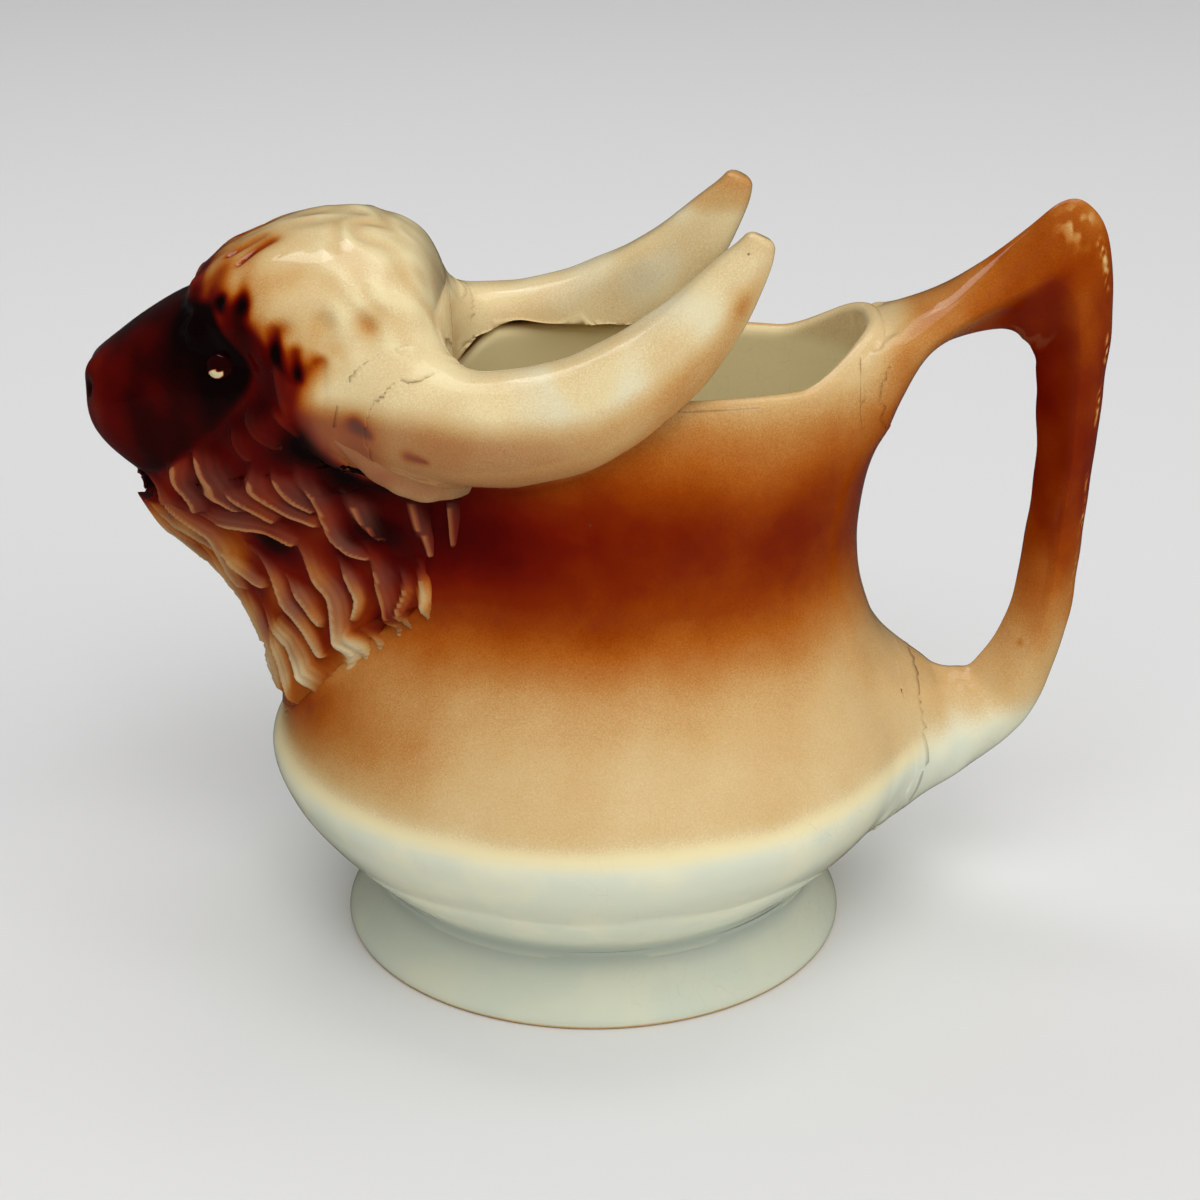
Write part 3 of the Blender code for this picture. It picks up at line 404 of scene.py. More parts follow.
# Palest ends of the locks: place and radius
PALE_ENDS = (
    ((-47.3, 28.5, 81.9), 3.5),
    ((-33.1, 34.4, 84.3), 2.8),
    ((-50.5, 29.5, 72.0), 4.5),
    ((-59.1, 24.4, 62.0), 5.0),
    ((-39.6, 34.9, 75.0), 3.0),
    ((-62.0, 19.0, 72.0), 4.5),
)

# Hollows in the ears: start, end and radius
EAR_HOLLOWS = (
    ((-45.4, -34.0, 119.0), (-42.6, -35.0, 117.3), 1.5),
    ((-35.6, -37.0, 114.0), (-32.6, -38.5, 113.0), 1.2),
)

# Sprayed tones of the body: density over height, and shades as degrees and their reach, height and its
# reach, and amount. The second shade, low on the front, is partly brown spray and partly painted shade
# on the side turned from the lamps
SPRAY_HEIGHTS = (0, 43.5, 45.5, 48, 53, 58, 62, 68, 73, 80, 86, 92, 98, 104, 109, 114, 118, 123, 135)
SPRAY_DENSITIES = (0, 0, 0.03, 0.17, 0.22, 0.25, 0.30, 0.42, 0.58, 0.72, 0.80, 0.83, 0.82, 0.76, 0.67, 0.57,
                   0.44, 0.28, 0.26)
SPRAY_SHADES = (
    (48, 22, 97, 12, 0.22),
    (12, 38, 57, 9, 0.48),
)
SPRAY_REAR_LIGHT = 0.05
SPRAY_REAR_SPAN = (90, 140)
SPRAY_REAR_HEIGHT_SPAN = (60, 75)
SPRAY_START_SPAN = (44, 49)
SPRAY_GRAIN_SPAN = (44, 48)
GREEN_EDGE_SPAN = (45.5, 41.5)
RIM_TAN_SPAN = (117, 122)
CREASE_HEIGHT = 15.0
CREASE_REACH = 3.0
FOOT_LINE_HEIGHT = 0.5
FOOT_LINE_REACH = 0.55
FOOT_POOL_SPAN = (8, 14)

# Tones of the hair
TIP_SPAN = (21, 5)
TIP_FRONT_SPAN = (15, 5)
CHEEK_SPAN = (103, 110)
# The slope behind each crest carries a painted sheen, and the crest a thin painted highlight
SLOPE_SPAN = (0.10, 0.85)
CREST_SPAN = (0.84, 0.96)
BEARD_SPAN = (104, 82)
BEARD_SIDE_SPAN = (44, 24)
LIP_LINE_HEIGHT = 94.6
LIP_LINE_REACH = 0.7
LIP_LINE_SPAN = (-87.5, -89.0)
# Painted shade in the spout's mouth: its spans in x, to the side and in height
MOUTH_SHADE_SPAN = (-80, -84)
MOUTH_SHADE_SIDE_SPAN = (10, 6)
MOUTH_SHADE_HEIGHT_SPAN = (95.2, 96.0)
HAIR_TONE_FOOT_SPAN = (-2, 5)
HAIR_TONE_SIDE_SPAN = (47, 56)
HAIR_TONE_FACE_SPAN = (-0.5, 2.5)

# Tones of the face and the crown; the shades are centre, reach and amount
MUZZLE_SPAN = (-97, -88)
FACE_SHADES = (
    ((-68.0, 20.0, 128.0), (10.0, 14.0, 10.0), 0.30),
    ((-73.0, 0.0, 137.0), (6.0, math.inf, 8.0), 0.22),
    ((-98.4, 6.8, 117.6), (2.0, 2.0, 2.0), 0.25),
)
CROWN_TONE_SPAN = (-4.0, -1.0)
CROWN_FRONT_SPAN = (-52, -72)
CROWN_TAN_REACH = 40.0
CROWN_DARK_SPAN = (5.5, -7.5)

# Tones of the horns, by the height of their middle line over x
HORN_MIDDLE_PLACES = (-52, -37, -25, -14, -3, 7, 15, 22, 27, 31)
HORN_MIDDLE_HEIGHTS = (122, 121.5, 120.3, 120, 121.5, 126, 131.5, 138, 145, 150.5)
HORN_TONE_SPAN = (1.75, 1.30)
HORN_LOW_SPAN = (2.5, -4.0)
HORN_OUTER_SPAN = (26, 31)
HORN_TAN_SPAN = (-4, -24)
HORN_ROOT_SPAN = (-37, -45)
HORN_GREEN_SPAN = (-22, -8)
HORN_MAUVE_SPAN = (10, -20)
HORN_TIP_SPAN = (147, 150)
FAR_TIP_SPAN = (143, 147)
FAR_TIP_INNER_SPAN = (33, 29)
OCHRE_X = 24.5
OCHRE_REACH_X = 2.2
OCHRE_HEIGHT = 140.5
OCHRE_REACH_Z = 3.0
EAR_ROOT_SPAN = (-38, -47)

# White and pupil of the eyes
WHITE_X = -71.8
WHITE_HEIGHT = 125.0
WHITE_LENGTH = 1.5
WHITE_DEPTH = 1.05
WHITE_SLANT = 0.4
WHITE_EDGE_SPAN = (1.10, 0.85)
PUPIL_X = -71.2
PUPIL_HEIGHT = 126.1
PUPIL_RADIUS = 0.6
PUPIL_EDGE_SPAN = (0.85, 1.15)

# Tones of the handle, and its paler back edges and peak, partly worn and partly painted highlight
HANDLE_JOIN_SPAN = (0.3, 7.3)
HANDLE_FRONT_X = 30
HANDLE_TONE_HEIGHTS = (30, 44, 50, 58, 66, 76, 90, 105, 120, 135, 145, 152)
HANDLE_DENSITIES = (0.0, 0.08, 0.24, 0.36, 0.50, 0.66, 0.79, 0.83, 0.79, 0.74, 0.68, 0.60)
HANDLE_TAN_SPAN = (84, 62)
HANDLE_TAN_HEIGHT_SPAN = (110, 120)
HANDLE_GREEN_SPAN = (52, 42)
UNDER_X = 56
UNDER_SLOPE = 0.72
UNDER_SPAN = (118, 114)
UNDER_ROOT_SPAN = (58, 66)
UNDER_BACK_SPAN = (94, 86)
UNDER_HEIGHT_SPAN = (106, 112)
BACK_EDGE_HEIGHTS = (40, 46, 64, 85, 108, 127, 140, 147, 151)
BACK_EDGE_PLACES = (88, 91.3, 96.1, 97.8, 99.3, 100, 98.5, 95.5, 91)
BACK_EDGE_SIDE = 2.6
BACK_EDGE_REACH = 0.55
BACK_EDGE_SPAN = (-3.4, -2.6)
WEAR_AND_HIGHLIGHT_START_SPAN = (66, 74)
PEAK_WEAR_AND_HIGHLIGHT_X = 91.5
PEAK_WEAR_AND_HIGHLIGHT_HEIGHT = 147.5
PEAK_WEAR_AND_HIGHLIGHT_REACH = 3.0
HANDLE_DOT = (86.0, -4.5, 61.0)
HANDLE_DOT_RADIUS = 0.7

# Glaze colours
GROUND_GREEN = (0.76, 0.785, 0.62)
GROUND_PALE = (0.85, 0.835, 0.62)
POOL_BLUE = (0.42, 0.47, 0.395)
# Pinkish tint: partly the glaze's own, and on the hair's slopes and crests and on the ears a painted sheen
MAUVE_AND_SHEEN_TONE = (0.27, 0.145, 0.092)
CRAZE_TAN = (0.42, 0.24, 0.09)
PIT_BROWN = (0.10, 0.045, 0.02)
STAIN_FULL = 1.2
STAIN_TONES = (
    (0.00, (0.91, 0.80, 0.47)),
    (0.12, (0.74, 0.56, 0.29)),
    (0.26, (0.65, 0.41, 0.165)),
    (0.40, (0.52, 0.225, 0.055)),
    (0.52, (0.42, 0.11, 0.010)),
    (0.60, (0.30, 0.048, 0.0012)),
    (0.67, (0.205, 0.018, 0.0006)),
    (0.73, (0.150, 0.006, 0.0004)),
    (0.80, (0.085, 0.0015, 0.0004)),
    (0.90, (0.024, 0.0005, 0.0003)),
    (1.00, (0.0035, 0.0004, 0.0003)),
)

# Glaze features: sizes in metres, and amounts
SPECKLE_SIZE = 0.00032
SPECKLE_AMOUNT = 0.34
PATCH_SIZE = 0.0060
PATCH_AMOUNT = 0.10
GROUND_CLOUD_SIZE = 0.0140
CRAZE_CELL = 0.0034
CRAZE_WARP = 0.0030
CRAZE_WARP_SIZE = 0.0090
CRAZE_AREA_SIZE = 0.0180
CRAZE_AMOUNT = 0.10
PIT_CELL = 0.0070
PIT_DEPTH = 0.00005
DULL_SIZE = 0.0030
DULL_AMOUNT = 0.07
RIPPLE_SIZE = 0.0024
RIPPLE_DEPTH = 0.00005
SWELL_SIZE = 0.0120
SWELL_DEPTH = 0.0003

# Studio
FLOOR_SIZE = 9.0
FLOOR_TONE = (0.775, 0.775, 0.77)
FLOOR_BOUNCE_TONE = (0.86, 0.86, 0.85)
SKY_TONE = (0.97, 0.98, 1.0)
SKY_STRENGTH = 0.22
SKY_GLOSS_STRENGTH = 0.03
FLOOR_GLOSS_TONE = (0.05, 0.05, 0.05)
LAMP_TARGET = (0.0, 0.0, 0.07)
LAMPS = (
    ("key", (2.50, -2.60, 3.10), 4.0, 4.0, 82.0, False),
    ("front", (-0.25, -2.10, 2.80), 2.0, 2.0, 50.0, False),
    ("ceiling", (0.30, 0.60, 2.60), 2.4, 1.6, 18.0, True),
    ("window", (-0.30, 0.45, 0.95), 0.40, 0.26, 0.8, True),
)
CAMERA_SENSOR = 36.0
CAMERA_LENS = 72.18
CAMERA_CLIP = (0.02, 20.0)
CAMERA_PLACE = (-0.01103, -0.4513, 0.2606)
CAMERA_TILT = 67.04 * DEGREE
CAMERA_TURN = -1.412 * DEGREE


def ease(share):
    """Smooth step: 0 below 0, 1 above 1, 3s^2 - 2s^3 between."""
    share = np.clip(share, 0.0, 1.0)
    return share * share * (3 - 2 * share)


def over(value, span):
    """Smooth step over a span: 0 at its first end and 1 at its second, which may be the lower one."""
    return ease((value - span[0]) / (span[1] - span[0]))


def in_millimetres(points):
    """The three coordinates of points, in millimetres."""
    return tuple(points[..., k] / MM for k in range(3))


def smooth(at, places, values):
    """Cubic Hermite curve through the values at the places, with central-difference slopes."""
    at = np.asarray(at, float)
    places = np.asarray(places, float)
    values = np.asarray(values, float)
    slopes = np.gradient(values, places, axis=0)
    left = np.clip(np.searchsorted(places, at) - 1, 0, len(places) - 2)
    across = left.shape + (1,) * (values.ndim - 1)
    step = (places[left + 1] - places[left]).reshape(across)
    t = np.clip((at - places[left]).reshape(across) / step, 0.0, 1.0)
    rise = 3 * t**2 - 2 * t**3
    bend = step * ((t**3 - 2 * t**2 + t) * slopes[left] + (t**3 - t**2) * slopes[left + 1])
    return values[left] + (values[left + 1] - values[left]) * rise + bend


def superellipse(angle, squareness):
    """Unit section |x|^n + |y|^n = 1 at the given angles, as its two coordinates."""
    power = 2 / squareness
    across = np.sign(np.cos(angle)) * np.abs(np.cos(angle)) ** power
    up = np.sign(np.sin(angle)) * np.abs(np.sin(angle)) ** power
    return across, up


def wobble(points, name):
    """Smooth unevenness of the named kind, from about -1 to 1: the mean, times 2.2, of eight sine waves in
    scattered directions."""
    wavelength, seed = UNEVENNESS[name]
    scatter = np.random.default_rng(seed)
    ways = scatter.normal(size=(8, 3))
    ways = ways / np.linalg.norm(ways, axis=1, keepdims=True) * scatter.uniform(0.6, 1.5, (8, 1))
    phases = scatter.uniform(0.0, FULL_TURN, 8)
    return np.sin(points @ ways.T * (FULL_TURN / (wavelength * MM)) + phases).mean(axis=-1) * 2.2


def count(number):
    """A number of rows or columns at the fineness in use."""
    return int(number * FINE)


def turn_angles(number):
    """Angles of the given number of columns round a full turn."""
    return np.arange(number) * FULL_TURN / number


def ring_normals(rings):
    """Outward unit normals of a grid of closed rings: around crossed with along."""
    around = np.roll(rings, -1, axis=1) - np.roll(rings, 1, axis=1)
    along = np.gradient(rings, axis=0)
    normals = np.cross(around, along)
    return normals / (np.linalg.norm(normals, axis=2, keepdims=True) + 1e-12)


def patch_normals(grid):
    """Outward unit normals of an open grid: across crossed with up."""
    normals = np.cross(np.gradient(grid, axis=1), np.gradient(grid, axis=0))
    return normals / (np.linalg.norm(normals, axis=2, keepdims=True) + 1e-12)


def thinned(spacing, step, number):
    """Every few rows or columns of a grid, so many that they lie about one step apart, and the last one."""
    every = max(1, int(round(step / spacing)))
    return np.unique(np.append(np.arange(0, number, every), number - 1))


def spacings(grid):
    """Mean distances between a grid's rows and between its columns."""
    down = np.linalg.norm(np.diff(grid, axis=0), axis=2).mean()
    return down, np.linalg.norm(np.diff(grid, axis=1), axis=2).mean()


def skin_of(grid, normals):
    """A thinned set of a grid's places and normals, about one skin step apart, for measuring gaps to it."""
    down, along = spacings(grid)
    rows = thinned(down, SKIN_STEP, grid.shape[0])[:, None]
    columns = thinned(along, SKIN_STEP, grid.shape[1])[None, :]
    return grid[rows, columns].reshape(-1, 3), normals[rows, columns].reshape(-1, 3)


def off_wall(skin):
    """The part of a skin that lies outside the vessel or less than a millimetre inside it."""
    kept = inside_vessel(skin[0]) < MM
    return skin[0][kept], skin[1][kept]


def gap_to(points, normals, skin, reach):
    """Signed distance from each point of a grid to a skin, and how the two face: the mean of the distances
    to the skin's tangent planes, weighed by nearness, tile by tile, and past a skin's border the distance
    to the border. It is held between minus and plus the reach."""
    places, outs = skin
    gap = np.full(points.shape[:2], float(reach))
    facing = np.zeros(points.shape[:2])
    blur = 1.6 * SKIN_STEP
    for top in range(0, points.shape[0], TILE):
        for side in range(0, points.shape[1], TILE):
            tile = points[top:top + TILE, side:side + TILE]
            flat = tile.reshape(-1, 3)
            middle = flat.mean(axis=0)
            spread = np.sqrt(((flat - middle) ** 2).sum(axis=1).max())
            away = np.sqrt(((places - middle) ** 2).sum(axis=1))
            if away.min() > reach + spread:
                continue
            near = away < away.min() + 2 * spread + 3 * blur
            step = flat[:, None] - places[near][None]
            square = (step**2).sum(axis=2)
            closest = square.min(axis=1, keepdims=True)
            weight = np.exp((closest - square) / blur**2)
            weight = weight / weight.sum(axis=1, keepdims=True)
            plane = (weight * (step * outs[near][None]).sum(axis=2)).sum(axis=1)
            out = normals[top:top + TILE, side:side + TILE].reshape(-1, 3)
            turn = (out * (weight @ outs[near])).sum(axis=1)
            aside = np.sqrt(np.clip(closest[:, 0] - plane**2, 0.0, None))
            past = ease((aside - 1.2 * SKIN_STEP) / (1.6 * SKIN_STEP))
            plane = plane + (np.maximum(plane, aside) - plane) * past
            gap[top:top + TILE, side:side + TILE] = np.clip(plane, -reach, reach).reshape(tile.shape[:2])
            facing[top:top + TILE, side:side + TILE] = turn.reshape(tile.shape[:2])
    return gap, facing


def refined(values, rows, columns, shape):
    """Values at chosen rows and columns of a grid, carried to all of it by Hermite curves both ways."""
    along = smooth(np.arange(shape[0]), rows, values)
    return smooth(np.arange(shape[1]), columns, along.T).T


def lift_for(gap, size):
    """Lift that a fillet of the given size needs at a gap, a hair less past the line where the two surfaces
    meet, and none deep inside the neighbour."""
    share = gap / size
    lift = size * (1 - np.sqrt(np.clip(share, 0.08, 1.0))) ** 2
    return (lift - FILLET_SINK * over(share, FILLET_SINK_SPAN)) * over(gap, (-FILLET_DEEP, 0.0))


def fuse(points, normals, joints):
    """Lifts a grid along its normals into the soft fillets that it shares with its neighbours.

    At a gap b from a neighbour and with a fillet of size k the lift is k (1 - sqrt(b / k))^2, which meets
    the neighbour's own lift where both are k / 4. Past that line the grid sinks just under the fillet.
    The gap is measured on a thinned grid, first unlifted and then lifted, and taken as linear between."""
    down, along = spacings(points)
    rows = thinned(down, FUSE_STEP, points.shape[0])
    columns = thinned(along, FUSE_STEP, points.shape[1])
    few, few_outs = (grid[rows[:, None], columns[None, :]] for grid in (points, normals))
    lift = np.zeros(points.shape[:2])
    for skin, size in joints:
        reach = 1.3 * size
        own = np.zeros(few.shape[:2])
        for _ in range(2):
            gap, facing = gap_to(few + own[..., None] * few_outs, few_outs, skin, reach)
            start = gap - own * facing
            for _ in range(6):
                own = own + 0.6 * (lift_for(start + own * facing, size) - own)
        start = refined(start, rows, columns, points.shape[:2])
        facing = refined(facing, rows, columns, points.shape[:2])
        own = np.zeros(points.shape[:2])
        for _ in range(12):
            own = own + 0.6 * (lift_for(start + own * facing, size) - own)
        lift = np.maximum(lift, own)
    return points + lift[..., None] * normals


def grid_faces(rows, columns):
    """Quads of a grid of closed rings, with its last column joined to its first."""
    row = np.arange(rows - 1)[:, None] * columns
    column = np.arange(columns)[None, :]
    after = (column + 1) % columns
    corners = (row + column, row + after, row + columns + after, row + columns + column)
    return np.stack(np.broadcast_arrays(*corners), axis=-1).reshape(-1, 4)


def volume(points, quads, fans):
    """Signed volume that the faces close: positive where they point out."""
    triangles = np.concatenate([quads[:, [0, 1, 2]], quads[:, [0, 2, 3]], fans])
    a, b, c = (points[triangles[:, k]] for k in range(3))
    return float((a * np.cross(b, c)).sum() / 6)


def make_mesh(name, points, quads, fans, fields):
    """A smooth-shaded mesh object of quads and triangles, with one attribute for each field."""
    mesh = bpy.data.meshes.new(name)
    mesh.vertices.add(len(points))
    mesh.vertices.foreach_set("co", np.asarray(points, np.float32).ravel())
    corners = np.concatenate([quads.ravel(), fans.ravel()]).astype(np.int32)
    sizes = np.concatenate([np.full(len(quads), 4), np.full(len(fans), 3)])
    starts = np.concatenate([[0], np.cumsum(sizes)[:-1]]).astype(np.int32)
    mesh.loops.add(len(corners))
    mesh.loops.foreach_set("vertex_index", corners)
    mesh.polygons.add(len(sizes))
    mesh.polygons.foreach_set("loop_start", starts)
    mesh.update(calc_edges=True)
    mesh.validate()
    mesh.shade_smooth()
    for field, values in fields.items():
        layer = mesh.attributes.new(name=field, type="FLOAT", domain="POINT")
        layer.data.foreach_set("value", np.asarray(values, np.float32))
    piece = bpy.data.objects.new(name, mesh)
    bpy.context.scene.collection.objects.link(piece)
    return piece


def ring_solid(name, rings, fields, ends=None):
    """A closed solid of rings with a fan to a point at each end, turned outwards."""
    rows, columns = rings.shape[:2]
    ends = (rings[0].mean(axis=0), rings[-1].mean(axis=0)) if ends is None else ends
    points = np.vstack([rings.reshape(-1, 3), ends[0], ends[1]])
    quads = grid_faces(rows, columns)
    column = np.arange(columns)
    after = (column + 1) % columns
    first = np.stack([np.full(columns, rows * columns), after, column], axis=1)
    last_row = (rows - 1) * columns
    last = np.stack([np.full(columns, rows * columns + 1), last_row + column, last_row + after], axis=1)
    fans = np.concatenate([first, last])
    if volume(points, quads, fans) < 0:
        quads, fans = quads[:, ::-1], fans[:, ::-1]
    full = {}
    for field, values in fields.items():
        values = np.broadcast_to(values, (rows, columns))
        full[field] = np.concatenate([values.ravel(), [values[0].mean(), values[-1].mean()]])
    return make_mesh(name, points, quads, fans, full)


def vessel_stations():
    """Heights up the vessel with its half width, rear reach and front reach at each."""
    waist = (FOOT_HEIGHT, WAIST_RADIUS, WAIST_RADIUS, WAIST_RADIUS)
    equator = (EQUATOR_HEIGHT, BOWL_RADIUS, BOWL_RADIUS, BOWL_RADIUS)
    neck = (NECK_HEIGHT, NECK_HALF_WIDTH, NECK_REAR, NECK_FRONT)
    mouth = (RIM_HEIGHT, MOUTH_HALF_WIDTH, MOUTH_REAR, MOUTH_FRONT)
    rows = [(BASE_HEIGHT, BASE_RADIUS, BASE_RADIUS, BASE_RADIUS), waist]
    runs = (
        (waist, equator, BOWL_CURVE_SHARES),
        (equator, neck, SHOULDER_CURVE_SHARES),
        (neck, mouth, NECK_CURVE_SHARES),
    )
    for low, high, shares in runs:
        low_row, high_row = np.array(low), np.array(high)
        fronts = [share for _, share in shares]
        if shares is SHOULDER_CURVE_SHARES:
            fronts = SHOULDER_FRONT_SHARES
        for (height_share, reach_share), front_share in zip(shares, fronts):
            share = np.array([height_share, reach_share, reach_share, front_share])
            rows.append(low_row + (high_row - low_row) * share)
        rows.append(high_row)
    slope = (rows[-1] - rows[-2]) / (rows[-1][0] - rows[-2][0])
    rows.append(rows[-1] + slope * (RIM_REAR_RISE + WALL))
    return np.array(rows, float)


def vessel_skin(angle, height):
    """The vessel's outside: at each height a front half ellipse and a rear one, blunter near the rim."""
    stations = vessel_stations()
    half_width, rear, front = (smooth(height, stations[:, 0], stations[:, k]) for k in (1, 2, 3))
    blunt = ease((height - NECK_HEIGHT) / (RIM_HEIGHT - NECK_HEIGHT)) * (np.cos(angle) > 0)
    across, out = superellipse(angle, 2 + (MOUTH_REAR_SQUARENESS - 2) * blunt)
    reach = np.where(np.cos(angle) > 0, rear, front)
    return np.stack(np.broadcast_arrays(VESSEL_X + reach * across, half_width * out, height), axis=-1)


def rim_height(x):
    """Height of the lip over x: level, lower under the head and higher at the handle."""
    front = RIM_FRONT_DROP * ease((RIM_FRONT_X - x) / RIM_FRONT_RUN)
    rear = RIM_REAR_RISE * ease((x - RIM_REAR_X) / RIM_REAR_RUN)
    return RIM_HEIGHT - front + rear


def vessel_rings(rows, columns):
    """Rings up the vessel's outside, from the base's edge to just under the lip."""
    angles = turn_angles(columns)[None, :]
    top = np.full(columns, RIM_HEIGHT)
    for _ in range(6):
        top = rim_height(vessel_skin(angles[0], top)[:, 0]) - WALL / 2
    low = np.linspace(BASE_HEIGHT, NECK_HEIGHT, rows * 2 // 3)[:-1, None]
    share = np.linspace(0.0, 1.0, rows - len(low))[:, None]
    heights = np.vstack([np.repeat(low, columns, axis=1), NECK_HEIGHT + (top - NECK_HEIGHT) * share])
    return vessel_skin(np.broadcast_to(angles, heights.shape), heights)


def vessel_edge(points):
    """The vessel's outside in the direction of each point, level with it, measured from its axis."""
    x, y = points[..., 0] - VESSEL_X, points[..., 1]
    height = np.clip(points[..., 2], BASE_HEIGHT, RIM_HEIGHT + RIM_REAR_RISE)
    angle = np.arctan2(y, x)
    for _ in range(3):
        edge = vessel_skin(angle, height) - np.array([VESSEL_X, 0, 0])
        angle = angle + np.arctan2(y, x) - np.arctan2(edge[..., 1], edge[..., 0])
    return np.hypot(edge[..., 0], edge[..., 1])


def inside_vessel(points):
    """How far each point lies inside the vessel's outside, level with it: positive inside."""
    return vessel_edge(points) - np.hypot(points[..., 0] - VESSEL_X, points[..., 1])


def let_in(rings, ends):
    """Holds rings no deeper than the middle of the vessel's wall, and brings their ends to it."""
    own = np.hypot(rings[..., 0] - VESSEL_X, rings[..., 1])
    middle = vessel_edge(rings) - WALL / 2
    held = np.maximum(own, middle)
    share = (held + (middle - held) * ends) / own
    rings[..., 0] = VESSEL_X + (rings[..., 0] - VESSEL_X) * share
    rings[..., 1] = rings[..., 1] * share
    return rings


def lid(points, ragged=0.0):
    """Raises what lies over the open mouth to just over the rim, so that nothing hangs down into it."""
    deep = inside_vessel(points)
    level = rim_height(points[..., 0]) + ragged
    raised = np.maximum(points[..., 2], level)
    moved = points.copy()
    moved[..., 2] = np.where(deep > LID_DEPTH, raised, points[..., 2])
    return moved


def head_skin(reach_share, angle):
    """The head's skin: superellipse sections from nose to nape, by share of its length and angle."""
    length = NAPE_X - NOSE_X
    station = np.linspace(0.0, 1.0, len(HEAD_REACH_SHARES))
    x = NOSE_X + length * smooth(reach_share, station, HEAD_REACH_SHARES)
    top = HEAD_BASE_HEIGHT + HEAD_RISE * smooth(reach_share, station, HEAD_TOP_SHARES)
    bottom = HEAD_BASE_HEIGHT + HEAD_RISE * smooth(reach_share, station, HEAD_BOTTOM_SHARES)
    half_width = HEAD_HALF_WIDTH * smooth(reach_share, station, HEAD_WIDTH_SHARES)
    across, up = superellipse(angle, HEAD_SQUARENESS)
    height = (top + bottom) / 2 + (top - bottom) / 2 * up
    edge = smooth((height - HEAD_BASE_HEIGHT) / HEAD_RISE, FACE_HEIGHT_SHARES, FACE_EDGE_SHARES)
    hair = HAIR_STAND * ease((x - NOSE_X - FACE_REACH * edge) / HAIR_RUN) * ease((NAPE_X - x) / HAIR_RUN)
    return np.stack(np.broadcast_arrays(x, (half_width + hair) * across, height + hair * up), axis=-1)


def forelock_stand(reach_share, angle):
    """How far the forelock stands out of the head: a steep front edge, thin at its rear and sides."""
    along = (reach_share - FORELOCK_START_SHARE) / (FORELOCK_END_SHARE - FORELOCK_START_SHARE)
    turned = np.mod(angle + math.pi / 2, FULL_TURN) - math.pi
    across = turned / (FORELOCK_SPREAD * forelock_spread_share(along))
    tips = FORELOCK_TIPS[0] * np.cos(11 * across) + FORELOCK_TIPS[1] * np.sin(23 * across + 1)
    ends = over(along - tips, FORELOCK_FRONT_SPAN) * over(along, FORELOCK_REAR_SPAN)
    return FORELOCK_THICKNESS * ends * over(np.abs(across), FORELOCK_SIDE_SPAN)


def forelock_spread_share(along):
    """Share of the forelock's full spread at a place along it, narrower at its front."""
    return FORELOCK_FRONT_SHARE + (1 - FORELOCK_FRONT_SHARE) * np.sqrt(np.clip(along, 0.0, 1.0))


def head_grid():
    """Rings of the head from near the nose's tip to near the nape, with the forelock standing out of it."""
    share = np.linspace(0.004, 0.996, count(250))[:, None]
    angle = turn_angles(count(320))[None, :]
    rings = head_skin(share, angle)
    return rings + forelock_stand(share, angle)[..., None] * ring_normals(rings)


def forelock_grid():
    """The forelock's outside, just over the head's where it stands out and let into it at the borders,
    and its sunken inside."""
    along = np.linspace(0.0, 1.0, count(190))[:, None]
    across = np.linspace(-1.0, 1.0, count(260))[None, :]
    share = FORELOCK_START_SHARE + (FORELOCK_END_SHARE - FORELOCK_START_SHARE) * along
    angle = math.pi / 2 + FORELOCK_SPREAD * across * forelock_spread_share(along)
    skin = head_skin(share, angle)
    normals = patch_normals(skin)
    inner_part = ease(along / 0.05) * ease((1 - along) / 0.10) * ease((1 - np.abs(across)) / 0.12)
    sunk = FORELOCK_LET_IN - (FORELOCK_LET_IN + FORELOCK_PROUD) * inner_part
    stand = forelock_stand(share, angle) - sunk
    return skin + stand[..., None] * normals, (skin - FORELOCK_SUNK * normals)[::10]


def mane_grid():
    """The mane's outside and its sunken inside: level superellipse sections round the neck's front, from
    the tips to the jaw, let into the neck's wall at the foot and the sides and into the head at the top."""
    up = np.linspace(0.0, 1.0, count(232))[:, None]
    across = np.linspace(-1.0, 1.0, count(390))[None, :]
    across = across * (0.85 + 0.15 * across**2)
    sides = ease(np.abs(across))
    foot = MANE_FOOT_HEIGHT + MANE_SIDE_RISE * sides
    jaw = ease((np.abs(across) - MANE_LIP_SHARE) / MANE_LIP_RUN_SHARE)
    top = MANE_LIP_HEIGHT + (MANE_TOP_HEIGHT - MANE_LIP_HEIGHT) * jaw - MANE_SIDE_DROP * sides
    height = foot + (top - foot) * up
    level = (height - MANE_FOOT_HEIGHT) / (MANE_TOP_HEIGHT - MANE_FOOT_HEIGHT)
    reach, width, point = (
        smooth(level, MANE_LEVEL_SHARES, shares)
        for shares in (MANE_REACH_SHARES, MANE_WIDTH_SHARES, MANE_SQUARENESS)
    )
    angle = MANE_SPREAD * across + 0 * up
    out, side = superellipse(angle, point)
    x = VESSEL_X - MANE_REACH * reach * out
    grid = np.stack(np.broadcast_arrays(x, -MANE_HALF_WIDTH * width * side, height), axis=-1)
    wall = vessel_skin(math.pi + angle, height)
    wall_normals = patch_normals(wall)
    edge = 1 - ease(up / MANE_EDGE_SHARE) * ease((MANE_SIDE_SHARE - np.abs(across)) / MANE_SIDE_RUN_SHARE)
    inner = wall - WALL / 2 * wall_normals
    grid = grid + edge[..., None] * (inner - grid)
    tuck = MANE_TUCK * over(up, MANE_TUCK_SPAN) ** 2 * jaw
    grid = grid + (tuck * (1 - edge))[..., None] * (inner - grid)
    return grid, (wall - MANE_SUNK * wall_normals)[::12]


